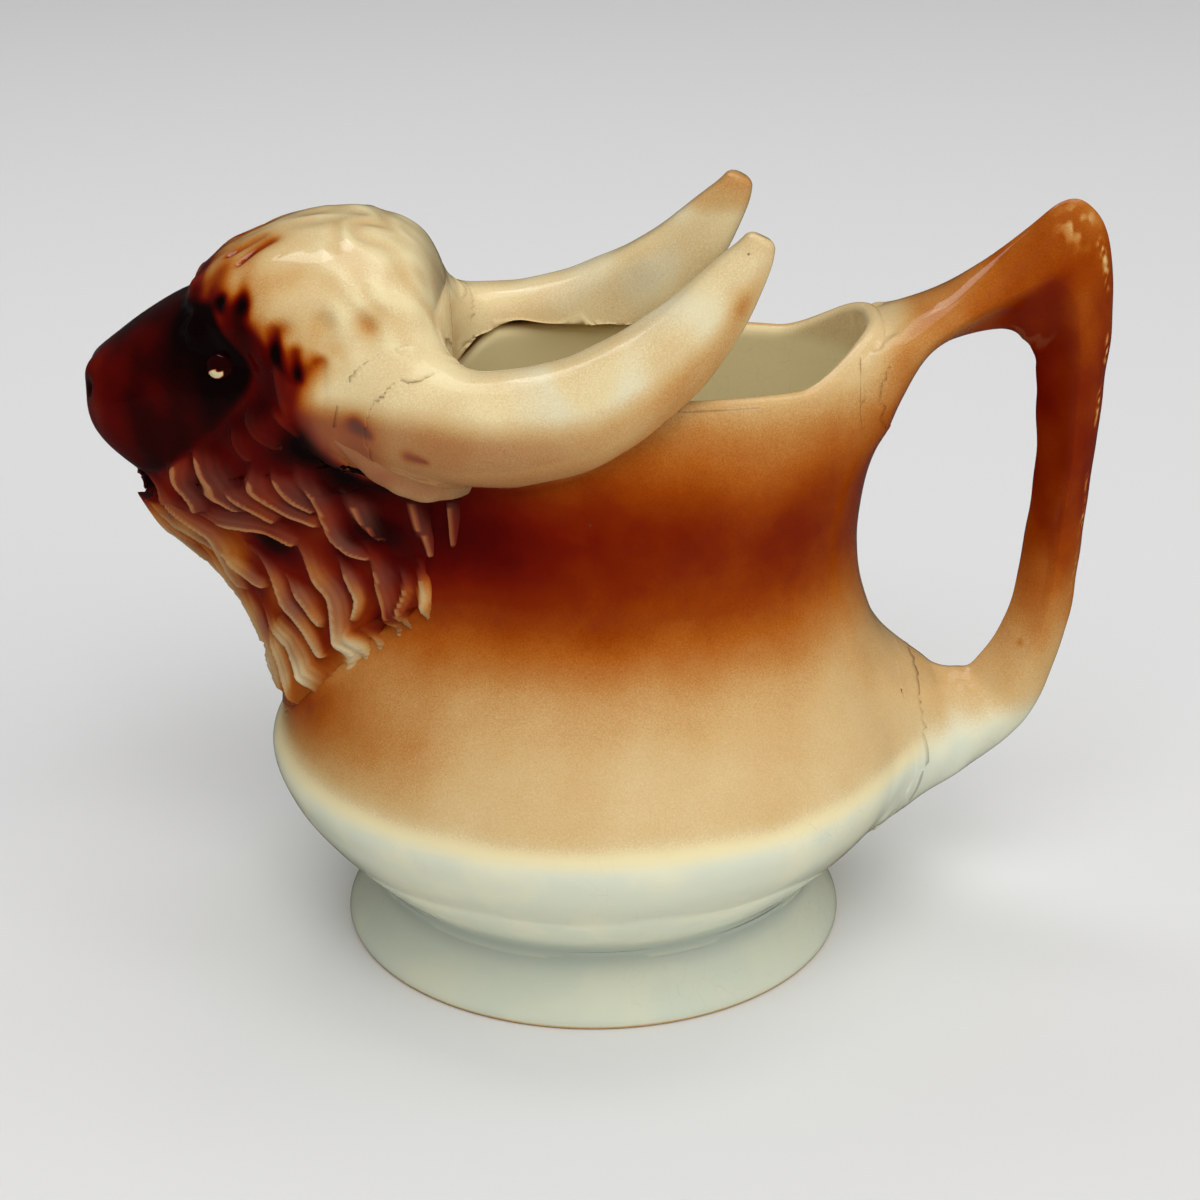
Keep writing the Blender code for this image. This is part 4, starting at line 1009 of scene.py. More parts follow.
def pad_solid(name, outer, inner, fields_at, relief):
    """A closed pad: the outer grid, closed behind by a coarser inner one of as many columns."""
    grid = np.concatenate([outer, inner[::-1]], axis=0)
    relief = np.concatenate([relief, 0 * inner[..., 0]], axis=0)
    fields = {field: values.T for field, values in fields_at(grid, relief).items()}
    return ring_solid(name, grid.transpose(1, 0, 2), fields)


def horn_line(share):
    """Points of the right horn's middle line at shares of its length."""
    station = np.linspace(0.0, 1.0, len(HORN_REACH_SHARES))
    tables = (HORN_REACH_SHARES, HORN_SPREAD_SHARES, HORN_HEIGHT_SHARES)
    shares = np.stack([smooth(share, station, table) for table in tables], axis=1)
    return np.array(HORN_ROOT) + (np.array(HORN_TIP) - np.array(HORN_ROOT)) * shares


def horn_grid():
    """The right horn: D sections, flat towards the mouth, along a curve back from the temple."""
    station = np.linspace(0.0, 1.0, len(HORN_REACH_SHARES))
    share = np.linspace(0.0, 1.0, count(260))
    middle = horn_line(share)
    tangent = np.gradient(middle, axis=0)
    tangent = tangent / np.linalg.norm(tangent, axis=1, keepdims=True)
    up = np.array([0.0, 0.0, 1.0]) - tangent[:, 2:] * tangent
    up = up / np.linalg.norm(up, axis=1, keepdims=True)
    side = np.cross(up, tangent)
    blunt = np.sqrt(np.clip((1 - share) / HORN_BLUNT_SHARE, 0.0, 1.0))
    blunt = HORN_TIP_SIZE + (1 - HORN_TIP_SIZE) * blunt
    root = HORN_ROOT_SIZE + (1 - HORN_ROOT_SIZE) * ease(share / HORN_ROOT_SHARE)
    size = (smooth(share, station, HORN_SIZE_SHARES) * blunt * root)[:, None]
    angle = turn_angles(count(110))[None, :]
    flat_across, flat_up = superellipse(angle, HORN_INNER_SQUARENESS)
    outward = np.cos(angle) > 0
    across = HORN_HALF_WIDTH * size * np.where(outward, np.cos(angle), HORN_INNER_SHARE * flat_across)
    rise = HORN_HALF_DEPTH * size * np.where(outward, np.sin(angle), flat_up)
    return middle[:, None] + side[:, None] * across[..., None] + up[:, None] * rise[..., None]


def ear_grid():
    """The right ear: a leaf below and outside the horn's root, pointed at its ends, hollowed outside."""
    along = np.linspace(0.01, 0.99, count(120))[:, None]
    root, tip = horn_line(np.array([0.0, EAR_RUN_SHARE]))
    root = root + np.array([0.0, EAR_ROOT_OUT, -EAR_ROOT_DROP])
    tip = tip + np.array([0.0, EAR_TIP_OUT, -EAR_TIP_DROP])
    middle = root + (tip - root) * along
    middle[:, 2:] -= EAR_SAG * np.sin(math.pi * along)
    middle[:, 1:2] -= EAR_TIP_SINK * over(along, EAR_SINK_SPAN)
    size = np.sin(math.pi * along**EAR_POINT_SHARE)
    angle = turn_angles(count(80))[None, :]
    hollow = np.where(np.cos(angle) > 0, EAR_HOLLOW_SHARE, 1.0)
    y = EAR_HALF_WIDTH * size * np.cos(angle) * hollow
    z = EAR_HALF_DEPTH * size * np.sin(angle)
    return middle[:, None] + np.stack([0 * y, y, z], axis=-1)


def handle_grid():
    """Ridged sections between the handle's outer and inner outlines, wide at the rim and the bowl."""
    station = np.linspace(0.0, 1.0, len(HANDLE_OUT_SHARES))
    share = np.linspace(0.0, 1.0, count(420))
    rear = VESSEL_X + NECK_REAR
    rise = HANDLE_PEAK_HEIGHT - HANDLE_FOOT_HEIGHT
    out = rear + (HANDLE_X - rear) * smooth(share, station, HANDLE_OUT_SHARES)
    up = HANDLE_FOOT_HEIGHT + rise * smooth(share, station, HANDLE_UP_SHARES)
    turn = -FULL_TURN * smooth(share, station, HANDLE_TURN_SHARES)
    depth = HANDLE_DEPTH * smooth(share, station, HANDLE_DEPTH_SHARES)
    inward = np.stack([np.cos(turn), np.zeros_like(turn), np.sin(turn)], axis=1)
    middle = np.stack([out, np.zeros_like(out), up], axis=1) + depth[:, None] / 2 * inward
    flare = np.where(share < 0.5, HANDLE_ROOT_HALF_WIDTH, HANDLE_FOOT_HALF_WIDTH) - HANDLE_HALF_WIDTH
    width = HANDLE_HALF_WIDTH + flare * smooth(share, station, HANDLE_WIDTH_SHARES)
    blend = ease(smooth(share, station, HANDLE_WIDTH_SHARES))
    squareness = HANDLE_SQUARENESS + (HANDLE_END_SQUARENESS - HANDLE_SQUARENESS) * blend
    angle = turn_angles(count(160))[None, :]
    section_across, section_out = superellipse(angle, squareness[:, None])
    scooped = (section_out < 0) * np.sin(2 * angle) ** 2 * (1 - blend)[:, None]
    scooped = 1 - HANDLE_SCOOP * scooped * over(share, HANDLE_SCOOP_SPAN)[:, None]
    side = np.array([0.0, 1.0, 0.0])
    rings = middle[:, None] + side * (width[:, None] * section_across * scooped)[..., None]
    rings = rings - inward[:, None] * (depth[:, None] / 2 * section_out * scooped)[..., None]
    flush = (rim_height(out) - HANDLE_FLUSH_DROP - up) * over(share, HANDLE_FLUSH_SPAN)
    rings[..., 2] += flush[:, None] * np.clip(section_out, 0.0, 1.0)
    ends = over(np.minimum(share, 1 - share), HANDLE_END_SPAN)
    return let_in(rings, ends[:, None])


def passage_oval(along):
    """The pour passage's half width and half height, and its middle's height, at shares of its length."""
    lifted = np.clip((along - PASSAGE_LIFT_SHARE) / (1 - PASSAGE_LIFT_SHARE), 0.0, 1.0)
    taper = ease(along / PASSAGE_TAPER_SHARE)
    half_width = PASSAGE_HALF_WIDTH + (LIP_HALF_WIDTH - PASSAGE_HALF_WIDTH) * taper
    half_height = PASSAGE_HALF_HEIGHT + (LIP_HALF_HEIGHT - PASSAGE_HALF_HEIGHT) * taper
    return half_width, half_height, PASSAGE_HEIGHT + LIP_RISE * lifted**1.5


def passage_grid():
    """The pour passage: an oval tunnel forward from the neck that rises and narrows to the mouth."""
    along = np.linspace(0.0, 1.0, 60)[:, None]
    half_width, half_height, height = passage_oval(along)
    angle = turn_angles(48)[None, :]
    x = PASSAGE_START_X + (PASSAGE_END_X - PASSAGE_START_X) * along
    y = -half_width * np.cos(angle)
    z = height + half_height * np.sin(angle)
    return np.stack(np.broadcast_arrays(x, y, z), axis=-1)


def foot_rings():
    """The flared foot ring: its profile turned round the vessel's axis."""
    share = np.linspace(0.0, 1.0, count(FOOT_ROWS))
    station = np.linspace(0.0, 1.0, len(FOOT_FLARE_SHARES))
    radius = WAIST_RADIUS + (FOOT_RADIUS - WAIST_RADIUS) * smooth(share, station, FOOT_FLARE_SHARES)
    height = FOOT_HEIGHT * smooth(share, station, FOOT_RISE_SHARES)
    turn = np.linspace(0.0, math.pi / 2, 8)[1:]
    land = FOOT_RADIUS - FOOT_EDGE
    edge = [(land + FOOT_EDGE * math.cos(t), FOOT_EDGE * (1 - math.sin(t))) for t in turn]
    land = land - FOOT_LAND
    edge += [(land - FOOT_EDGE * math.sin(t), FOOT_EDGE * (1 - math.cos(t))) for t in turn]
    edge.append((BASE_RADIUS - FOOT_EDGE, BASE_HEIGHT + FOOT_TUCK))
    edge.append((BASE_RADIUS + FOOT_EDGE, FOOT_HEIGHT * FOOT_INNER_SHARE))
    profile = np.vstack([np.stack([radius, height], axis=1), np.array(edge)])[::-1]
    angles = turn_angles(count(320))[None, :]
    r, h = profile[:, :1], profile[:, 1:]
    return np.stack([VESSEL_X + r * np.cos(angles), r * np.sin(angles), h + 0 * angles], axis=-1)


def around_degrees(points):
    """Angle round the vessel's axis from the spout, in degrees, positive towards the animal's left."""
    return np.arctan2(-points[..., 1], VESSEL_X - points[..., 0]) / DEGREE


def crest_line(crest, place, side):
    """A lock's crest as points of a smooth curve, in arc and height, staggered a little on the right."""
    line = np.array(crest, float)
    if side < 0:
        stagger = np.array([math.sin(place * 2.1), math.cos(place * 1.3)])
        line = line + LOCK_STAGGER * stagger
    at = np.linspace(0, len(line) - 1, 3 * len(line) - 2)
    stations = np.arange(len(line))
    line = np.stack([smooth(at, stations, line[:, k]) for k in (0, 1)], axis=1)
    line[:, 0] *= LOCK_ARC
    return line


def lock_relief(points):
    """Relief of the carved locks, 0 in the hollows and 1 on the crests.

    Each crest is a smooth line in arc and height. At a distance d from it the relief is
    exp(-(d / steep)^2) in front and (1 - d / slope)^1.25 behind, with fine strands along it. It is less at
    a lock's root and none at its tip, and where locks meet the higher one shows."""
    flat = points.reshape(-1, 3)
    height = flat[:, 2] / MM
    uneven = LOCK_SWELL * wobble(flat, "locks")
    relief = np.zeros(len(flat))
    for side in (1, -1):
        arc = side * around_degrees(flat) * LOCK_ARC + 0.5 * uneven
        for place, crest in enumerate(LOCK_CRESTS):
            line = crest_line(crest, place, side)
            low = line.min(axis=0) - LOCK_SLOPE - 1
            high = line.max(axis=0) + LOCK_SLOPE + 1
            near = np.flatnonzero((arc > low[0]) & (arc < high[0]) & (height > low[1]) & (height < high[1]))
            if not len(near):
                continue
            start, run = line[:-1], np.diff(line, axis=0)
            across = arc[near, None] - start[None, :, 0]
            up = height[near, None] - start[None, :, 1]
            length = (run**2).sum(axis=1)
            t = np.clip((across * run[:, 0] + up * run[:, 1]) / length, 0.0, 1.0)
            distance = np.hypot(across - t * run[:, 0], up - t * run[:, 1])
            pick = distance.argmin(axis=1)
            row = np.arange(len(near))
            behind = run[pick, 0] * up[row, pick] - run[pick, 1] * across[row, pick] > 0
            off = distance[row, pick]
            along = (pick + t[row, pick]) / len(run)
            breadth = LOCK_SLOPE * (1 + 0.3 * math.sin(1.7 * place))
            slope = breadth * (0.3 + 0.7 * np.sin(math.pi * along**0.8))
            strands = 1 + LOCK_STRANDS * np.cos(FULL_TURN * off / LOCK_STRAND_WIDTH)
            back = np.clip(1 - off / slope, 0.0, 1.0) ** 1.25 * strands
            fore = np.exp(-((off / LOCK_STEEP) ** 2))
            ends = (0.3 + 0.7 * over(along, LOCK_ROOT_SPAN)) * over(along, LOCK_TIP_SPAN)
            relief[near] = np.maximum(relief[near], np.where(behind, back, fore) * ends)
    return relief.reshape(points.shape[:-1])


def horn_nearness(points):
    """Distance from the nearer horn's middle line over the horn's radius there: 1 on its surface."""
    share = np.linspace(0.0, 1.0, 40)
    size = smooth(share, np.linspace(0.0, 1.0, len(HORN_SIZE_SHARES)), HORN_SIZE_SHARES)
    radius = (HORN_HALF_DEPTH + HORN_HALF_WIDTH) / 2 * size
    flat = points.reshape(-1, 3) * 1.0
    flat[:, 1] = np.abs(flat[:, 1])
    nearest = np.full(len(flat), 9.0)
    for middle, reach in zip(horn_line(share), radius):
        nearest = np.minimum(nearest, np.linalg.norm(flat - middle, axis=1) / reach)
    return nearest.reshape(points.shape[:-1])


def face_edge(z):
    """The hair's front edge on the head, as x in millimetres over height."""
    return smooth(z, FACE_EDGE_HEIGHTS, FACE_EDGE_PLACES)


def crown_edge(x):
    """The pale crown's lower edge, as height in millimetres over x."""
    return smooth(x, CROWN_EDGE_PLACES, CROWN_EDGE_HEIGHTS)


def above_foot(points):
    """Height above the foot of the carved locks, in millimetres."""
    degrees = np.abs(around_degrees(points))
    return points[..., 2] / MM - smooth(degrees, LOCK_FOOT_DEGREES, LOCK_FOOT_HEIGHTS)


def hair_share(points):
    """Where the hair is carved: 1 on the mane, less on the cheeks and at the locks' foot, 0 on the face,
    crown, horns and neck."""
    x, y, z = in_millimetres(points)
    face = over(x - face_edge(z), HAIR_FACE_SPAN)
    crown = over(crown_edge(x) - z, HAIR_CROWN_SPAN)
    cheek = 1 - 0.5 * over(z, HAIR_CHEEK_SPAN)
    side = 1 - over(np.abs(around_degrees(points)), HAIR_SIDE_SPAN)
    foot = 0.15 + 0.85 * over(above_foot(points), HAIR_FOOT_SPAN)
    return face * crown * cheek * side * foot * over(horn_nearness(points), HAIR_HORN_SPAN)


def carve_hair(points, normals):
    """Cuts the locks into a grid along its normals, with finer strands between them."""
    relief = lock_relief(points)
    share = hair_share(points)
    degrees = around_degrees(points)
    fine = np.stack([degrees * STRAND_DEGREE, 0 * degrees, points[..., 2] * STRAND_STRETCH], axis=-1)
    depth = LOCK_DEPTH * (relief - LOCK_LEVEL) + STRAND_DEPTH * wobble(fine, "strands")
    return points + (depth * share)[..., None] * normals, relief * share


def dent(points, normals, place, radius, depth):
    """Presses a round hollow, or raises a boss, whose depth falls off as exp(-(d / radius)^2)."""
    away = ((points - np.array(place) * MM) ** 2).sum(axis=-1) / (radius * MM) ** 2
    return points - (depth * MM * np.exp(-away))[..., None] * normals


def near_line(points, start, end, radius):
    """Nearness to a line between two places in millimetres, exp(-(d / r)^2), with r less at its end."""
    start, run = np.array(start), np.array(end) - np.array(start)
    away = points / MM - start
    along = np.clip(away @ run / (run @ run), 0.0, 1.0)
    square = ((away - along[..., None] * run) ** 2).sum(axis=-1)
    return np.exp(-square / (radius * (1.15 - 0.6 * along)) ** 2)


def patch(points, centre, reach):
    """Nearness to a place on either side, exp(-d^2), with d the distance over the reach along each axis."""
    x, y, z = in_millimetres(points)
    away = ((x - centre[0]) / reach[0]) ** 2 + ((np.abs(y) - centre[1]) / reach[1]) ** 2
    return np.exp(-away - ((z - centre[2]) / reach[2]) ** 2)


def band(value, middle, half_width):
    """Nearness of a value to the middle of a band, exp(-(d / half width)^2)."""
    return np.exp(-((value - middle) / half_width) ** 2)


def crown_combing(points):
    """Combed locks of the crown, -1 to 1: bands that run forward over the front and curve down behind."""
    x, y, z = in_millimetres(points)
    turn = np.arctan2(z - COMB_CENTRE_HEIGHT, np.abs(y) + MM)
    front = wobble(np.stack([x * COMB_STRETCH, 0 * x, turn * COMB_RADIUS], axis=-1) * MM, "comb_front")
    across = COMB_WAY[0] * x + COMB_WAY[1] * z + COMB_DRIFT * wobble(points, "comb_drift")
    rear = np.cos(FULL_TURN * across / COMB_WIDTH) * (0.7 + 0.3 * wobble(points, "comb_rear"))
    return front + (rear - front) * over(x, COMB_CHANGE_SPAN)


def carve_crown(points, normals):
    """Combs the crown, and presses its dimples and cuts."""
    x, y, z = in_millimetres(points)
    on_crown = over(z - crown_edge(x), COMB_EDGE_SPAN) * over(x, COMB_NAPE_SPAN)
    on_crown = on_crown * over(horn_nearness(points), COMB_HORN_SPAN)
    points = points + (COMB_DEPTH * crown_combing(points) * on_crown)[..., None] * normals
    for place, radius, depth in CROWN_DIMPLES:
        for side in (1, -1):
            points = dent(points, normals, (place[0], side * place[1], place[2]), radius, depth)
    for start, end, radius, depth in CROWN_CUTS:
        for side in (1, -1):
            flip = np.array([1.0, side, 1.0])
            pressed = depth * MM * near_line(points, start * flip, end * flip, radius)
            points = points - pressed[..., None] * normals
    return points


def sculpt_face(points, normals):
    """Eye sockets, brows, nostrils, the mouth's corners and the bridge of the nose, on both sides."""
    for side in (-1, 1):
        for place, radius, depth in FACE_MARKS:
            points = dent(points, normals, (place[0], side * place[1], place[2]), radius, depth)
    return points


def glaze_fields(density, green=0.0, mauve=0.0, pool=0.0):
    """The four fields that a glaze reads: density of the stain, green ground, a pinkish tint that is partly
    painted sheen, and pooling.
    """
    none = 0 * density
    return {"stain": density, "green": green + none, "mauve": mauve + none, "pool": pool + none}


def spray_of(points):
    """Density of the brown sprays by place, from 0, bare ground, to about 1.2, black."""
    z = points[..., 2] / MM
    degrees = np.abs(around_degrees(points))
    density = smooth(z, SPRAY_HEIGHTS, SPRAY_DENSITIES)
    shade = -SPRAY_REAR_LIGHT * over(degrees, SPRAY_REAR_SPAN) * over(z, SPRAY_REAR_HEIGHT_SPAN)
    # The low front shade is partly brown spray and partly painted shade on the side turned from the lamps
    for turn, turn_reach, height, height_reach, amount in SPRAY_SHADES:
        shade = shade + amount * band(degrees, turn, turn_reach) * band(z, height, height_reach)
    density = density + shade * over(z, SPRAY_START_SPAN)
    return density + 0.03 * wobble(points, "spray") * over(z, SPRAY_GRAIN_SPAN)


def green_below(z):
    """The pale green ground, from full below the bowl's widest to none just above it."""
    return over(z, GREEN_EDGE_SPAN)


def joined_fields(points):
    """Density and green of the body's outside and the handle together, each where it lies."""
    x, y, z = in_millimetres(points)
    on_handle = over(-inside_vessel(points) / MM, HANDLE_JOIN_SPAN) * (x > HANDLE_FRONT_X)
    density, green = handle_tones(points)
    bare = spray_of(points)
    return bare + (density - bare) * on_handle, green_below(z) + (green - green_below(z)) * on_handle


def body_fields(points, inside):
    """Glaze fields of the body: sprays outside, a bare cream inside, pale green below the bowl's widest."""
    z = points[..., 2] / MM
    cream = 0.02 * wobble(points, "inside") + 0.12 * over(z, RIM_TAN_SPAN)
    density, green = joined_fields(points)
    pool = band(z, CREASE_HEIGHT, CREASE_REACH)
    density = np.where(inside, cream, density)
    green, pool = (np.where(inside, 0.0, values) for values in (green, pool))
    return glaze_fields(density, green=green, pool=pool)


def foot_fields(points):
    """Pale green all over, with a thin brown line where the glaze stops at the land."""
    z = points[..., 2] / MM
    outside = np.hypot(points[..., 0] - VESSEL_X, points[..., 1]) > FOOT_RADIUS - 2 * FOOT_EDGE
    line = 0.30 * band(z, FOOT_LINE_HEIGHT, FOOT_LINE_REACH) * outside
    return glaze_fields(line, green=1.0 - 0.3 * line, pool=0.42 + 0.50 * over(z, FOOT_POOL_SPAN))


def hair_fields(points, relief):
    """Density and pinkish tint of the carved hair, with light and shade painted across each lock: dark
    hollows as painted shade, a painted sheen on the slopes, a thin pale painted highlight along each crest,
    cream at the tips and near black on the cheeks. Past its foot and sides it is the body's own spray."""
    x, y, z = in_millimetres(points)
    degrees = np.abs(around_degrees(points))
    above = above_foot(points)
    tip = np.clip(over(above, TIP_SPAN) + 0.45 * over(degrees, TIP_FRONT_SPAN), 0.0, 1.0)
    slope = over(relief, SLOPE_SPAN)
    line = over(relief, CREST_SPAN)
    blotch = wobble(points, "hair_blotch")
    low = over(z, BEARD_SPAN) * over(degrees, BEARD_SIDE_SPAN)
    # Light and shade painted across each lock: dark hollows, lighter slopes and a pale line on the crests
    hollow = 0.98 - 0.16 * tip - 0.16 * low + 0.08 * blotch
    side = 0.90 - 0.26 * low - 0.42 * tip + 0.08 * blotch
    crest = 0.56 - 0.20 * low - 0.30 * tip
    density = hollow + (side - hollow) * slope
    density = density + (crest - density) * line
    cheek = over(z, CHEEK_SPAN)
    # Painted sheen on the slopes, strongest along the crests as a painted highlight
    mauve = slope * (0.26 + 0.34 * low - 0.06 * tip) * (1 - 0.70 * cheek) * (0.7 + 0.3 * blotch)
    mauve = mauve + (0.66 - mauve) * 0.7 * line
    # Painted shade in the deepest scoops, which also lose their sheen
    for place, radius in SHADED_SCOOPS:
        dark = patch(points, place, (radius, radius, radius))
        density = density + 0.30 * dark
        mauve = mauve * (1 - 0.8 * dark)
    for place, radius in PALE_ENDS:
        density = density - 0.30 * patch(points, place, (radius, radius, radius)) * slope
    lip = band(z, LIP_LINE_HEIGHT, LIP_LINE_REACH) * over(x, LIP_LINE_SPAN)
    # Painted shade in the spout's mouth, which also loses its sheen
    mouth = over(z, MOUTH_SHADE_HEIGHT_SPAN) * over(x, MOUTH_SHADE_SPAN) * over(np.abs(y), MOUTH_SHADE_SIDE_SPAN)
    density = density - 0.40 * lip + 0.45 * mouth
    mauve = mauve * (1 - mouth)
    own = over(above, HAIR_TONE_FOOT_SPAN) * (1 - over(degrees, HAIR_TONE_SIDE_SPAN))
    bare = spray_of(points)
    return bare + (density - bare) * own, np.clip(mauve, 0.0, 1.0) * own


def mane_fields(points, relief):
    """Glaze fields of the mane, all of it carved hair."""
    density, mauve = hair_fields(points, relief)
    return glaze_fields(density, green=green_below(points[..., 2] / MM), mauve=mauve)


def face_density(points):
    """Density of the glaze on the bare face: oxblood, near black round the eye and under the forelock."""
    density = 0.95 + 0.13 * over(points[..., 0] / MM, MUZZLE_SPAN) + 0.05 * wobble(points, "face")
    for centre, reach, amount in FACE_SHADES:
        density = density + amount * patch(points, centre, reach)
    return density


def crown_density(points):
    """Density on the crown: cream, tan and near black in streaks at its lower edge, brown in its cuts."""
    x, y, z = in_millimetres(points)
    strands = np.stack([x, 0.2 * y, 0.28 * z], axis=-1) * MM
    ragged = 1.4 * wobble(strands, "crown_edge") + 0.7 * wobble(strands, "crown_edge_fine")
    above = z - crown_edge(x) + ragged
    front = over(x, CROWN_FRONT_SPAN)
    density = 0.12 + 0.05 * wobble(points, "crown") + 0.14 * front - 0.07 * crown_combing(points)
    density = density + 0.36 * np.exp(-np.clip(above, 0.0, CROWN_TAN_REACH) / (6.0 + 2.0 * front))
    density = density + 0.62 * over(above, CROWN_DARK_SPAN)
    for side in (1, -1):
        flip = np.array([1.0, side, 1.0])
        for place, radius, depth in CROWN_DIMPLES:
            away = ((points / MM - place * flip) ** 2).sum(axis=-1) / (radius * 0.9) ** 2
            density = density + 0.36 * depth * np.exp(-away)
        for start, end, radius, depth in CROWN_CUTS:
            nearness = near_line(points, start * flip, end * flip, 1.3 * radius)
            density = density + 0.55 * depth**0.5 * nearness
    return density


def head_fields(points, relief):
    """Glaze fields of the head: face, carved cheeks, crown and horn roots, each where it lies."""
    x, y, z = in_millimetres(points)
    density = face_density(points)
    hair, mauve = hair_fields(points, relief)
    on_hair = over(x - face_edge(z), HAIR_TONE_FACE_SPAN)
    density = density + (hair - density) * on_hair
    on_crown = over(z - crown_edge(x), CROWN_TONE_SPAN)
    density = density + (crown_density(points) - density) * on_crown
    own = glaze_fields(density, mauve=mauve * on_hair * (1 - on_crown))
    return blended(own, horn_fields(points), over(horn_nearness(points), HORN_TONE_SPAN))


def blended(first, second, share):
    """Fields that turn from the first set into the second."""
    return {name: first[name] + (second[name] - first[name]) * share for name in first}


def horn_fields(points):
    """Glaze fields of the horns: cream with pale green patches above, tan and pink below."""
    x, y, z = in_millimetres(points)
    middle = smooth(x, HORN_MIDDLE_PLACES, HORN_MIDDLE_HEIGHTS)
    low = over(z - middle, HORN_LOW_SPAN)
    outer = over(np.abs(y), HORN_OUTER_SPAN)
    root = 0.26 + 0.08 * over(x, HORN_TAN_SPAN) + 0.26 * over(x, HORN_ROOT_SPAN)
    density = 0.12 + 0.04 * wobble(points, "horn_cream") + root * low * outer
    density = density + 0.35 * ear_hollow(points)
    green = 0.5 * ease(wobble(points, "horn_green") + 0.35) * over(x, HORN_GREEN_SPAN) * (1 - low)
    far_tip = over(z, FAR_TIP_SPAN) * (y > 0) * over(y, FAR_TIP_INNER_SPAN)
    ochre = band(x, OCHRE_X, OCHRE_REACH_X) * band(z, OCHRE_HEIGHT, OCHRE_REACH_Z) * (y < 0)
    density = density + 0.05 * over(z, HORN_TIP_SPAN) + 0.24 * far_tip + 0.16 * ochre
    return glaze_fields(density, green=green, mauve=0.38 * low * outer * over(x, HORN_MAUVE_SPAN))


def ear_hollow(points):
    """Nearness to the hollows of the ears, from 0 to 1."""
    near = 0 * points[..., 0]
    for side in (1, -1):
        flip = np.array([1.0, side, 1.0])
        for start, end, radius in EAR_HOLLOWS:
            near = np.maximum(near, near_line(points, start * flip, end * flip, radius))
    return near


def ear_fields(points):
    """Glaze fields of the ears: a pinkish tint that is partly painted sheen, and tan, dark in the hollows.
    """
    root = over(points[..., 0] / MM, EAR_ROOT_SPAN)
    density = 0.46 + 0.10 * wobble(points, "ear_tan") + 0.20 * root + 0.45 * ear_hollow(points)
    return glaze_fields(density, mauve=0.55)


def handle_wear_and_highlight(points):
    """Pale marks from 0 to 1, partly worn and partly painted highlight: flecks along the handle's two back
    edges, and a patch on its peak.
    """
    x, y, z = in_millimetres(points)
    back = smooth(z, BACK_EDGE_HEIGHTS, BACK_EDGE_PLACES)
    spine = band(np.abs(y), BACK_EDGE_SIDE, BACK_EDGE_REACH) * over(x - back, BACK_EDGE_SPAN)
    flecks = ease(wobble(points, "wear_and_highlight") + 0.35) * ease(1.5 * wobble(points, "wear_and_highlight_fine") + 0.35)
    peak = band(x, PEAK_WEAR_AND_HIGHLIGHT_X, PEAK_WEAR_AND_HIGHLIGHT_REACH) * band(z, PEAK_WEAR_AND_HIGHLIGHT_HEIGHT, PEAK_WEAR_AND_HIGHLIGHT_REACH)
    peak = peak * ease(wobble(points, "wear_and_highlight_peak") + 0.3)
    return np.clip(spine * over(z, WEAR_AND_HIGHLIGHT_START_SPAN) * flecks + 0.9 * peak, 0.0, 1.0)


def handle_tones(points):
    """Density and green of the handle: tan at the rim, red brown over the peak, khaki and then pale green
    down the arm, paler along its two back edges and on the peak, partly worn and partly painted highlight."""
    x, y, z = in_millimetres(points)
    density = smooth(z, HANDLE_TONE_HEIGHTS, HANDLE_DENSITIES)
    density = density - 0.24 * over(x, HANDLE_TAN_SPAN) * over(z, HANDLE_TAN_HEIGHT_SPAN)
    under = over(z - UNDER_SLOPE * (x - UNDER_X), UNDER_SPAN) * over(z, UNDER_HEIGHT_SPAN)
    under = under * over(x, UNDER_ROOT_SPAN) * over(x, UNDER_BACK_SPAN)
    density = density + 0.08 * under + 0.03 * wobble(points, "handle_red")
    dot = np.exp(-((points / MM - HANDLE_DOT) ** 2).sum(axis=-1) / HANDLE_DOT_RADIUS**2)
    # Paler where worn and where a highlight is painted
    return density * (1 - 0.72 * handle_wear_and_highlight(points)) + 0.5 * dot, over(z, HANDLE_GREEN_SPAN)


def handle_fields(points):
    """Glaze fields of the handle."""
    density, green = joined_fields(points)
    return glaze_fields(density, green=green)


def node(tree, kind, **settings):
    """A shader node with its settings."""
    made = tree.nodes.new(kind)
    for name, value in settings.items():
        setattr(made, name, value)
    return made


def link(tree, source, target):
    """Joins two sockets."""
    tree.links.new(source, target)


def put(tree, socket, value):
    """Sets a socket to a number or a colour, or links another socket to it."""
    if isinstance(value, bpy.types.NodeSocket):
        link(tree, value, socket)
    else:
        socket.default_value = (*value, 1.0) if isinstance(value, tuple) else value


def sum_of(tree, operation, first, second):
    """A sum, product or other operation on two values, each a socket or a number."""
    made = node(tree, "ShaderNodeMath", operation=operation)
    put(tree, made.inputs[0], first)
    put(tree, made.inputs[1], second)
    return made.outputs[0]


def times(tree, first, second):
    """The product of two values."""
    return sum_of(tree, "MULTIPLY", first, second)


def centred(tree, value, amount):
    """A value from 0 to 1 as unevenness round zero, of the given amount."""
    return times(tree, sum_of(tree, "SUBTRACT", value, 0.5), amount)


def stretch(tree, value, low, high, start=0.0, end=1.0):
    """A value carried smoothly from one range to another."""
    made = node(tree, "ShaderNodeMapRange", interpolation_type="SMOOTHSTEP")
    link(tree, value, made.inputs["Value"])
    for name, number in (("From Min", low), ("From Max", high), ("To Min", start), ("To Max", end)):
        made.inputs[name].default_value = number
    return made.outputs[0]


def tint(tree, share, first, second):
    """A mix of two colours, each a socket or three numbers."""
    made = node(tree, "ShaderNodeMix", data_type="RGBA")
    link(tree, share, made.inputs[0])
    put(tree, made.inputs[6], first)
    put(tree, made.inputs[7], second)
    return made.outputs[2]


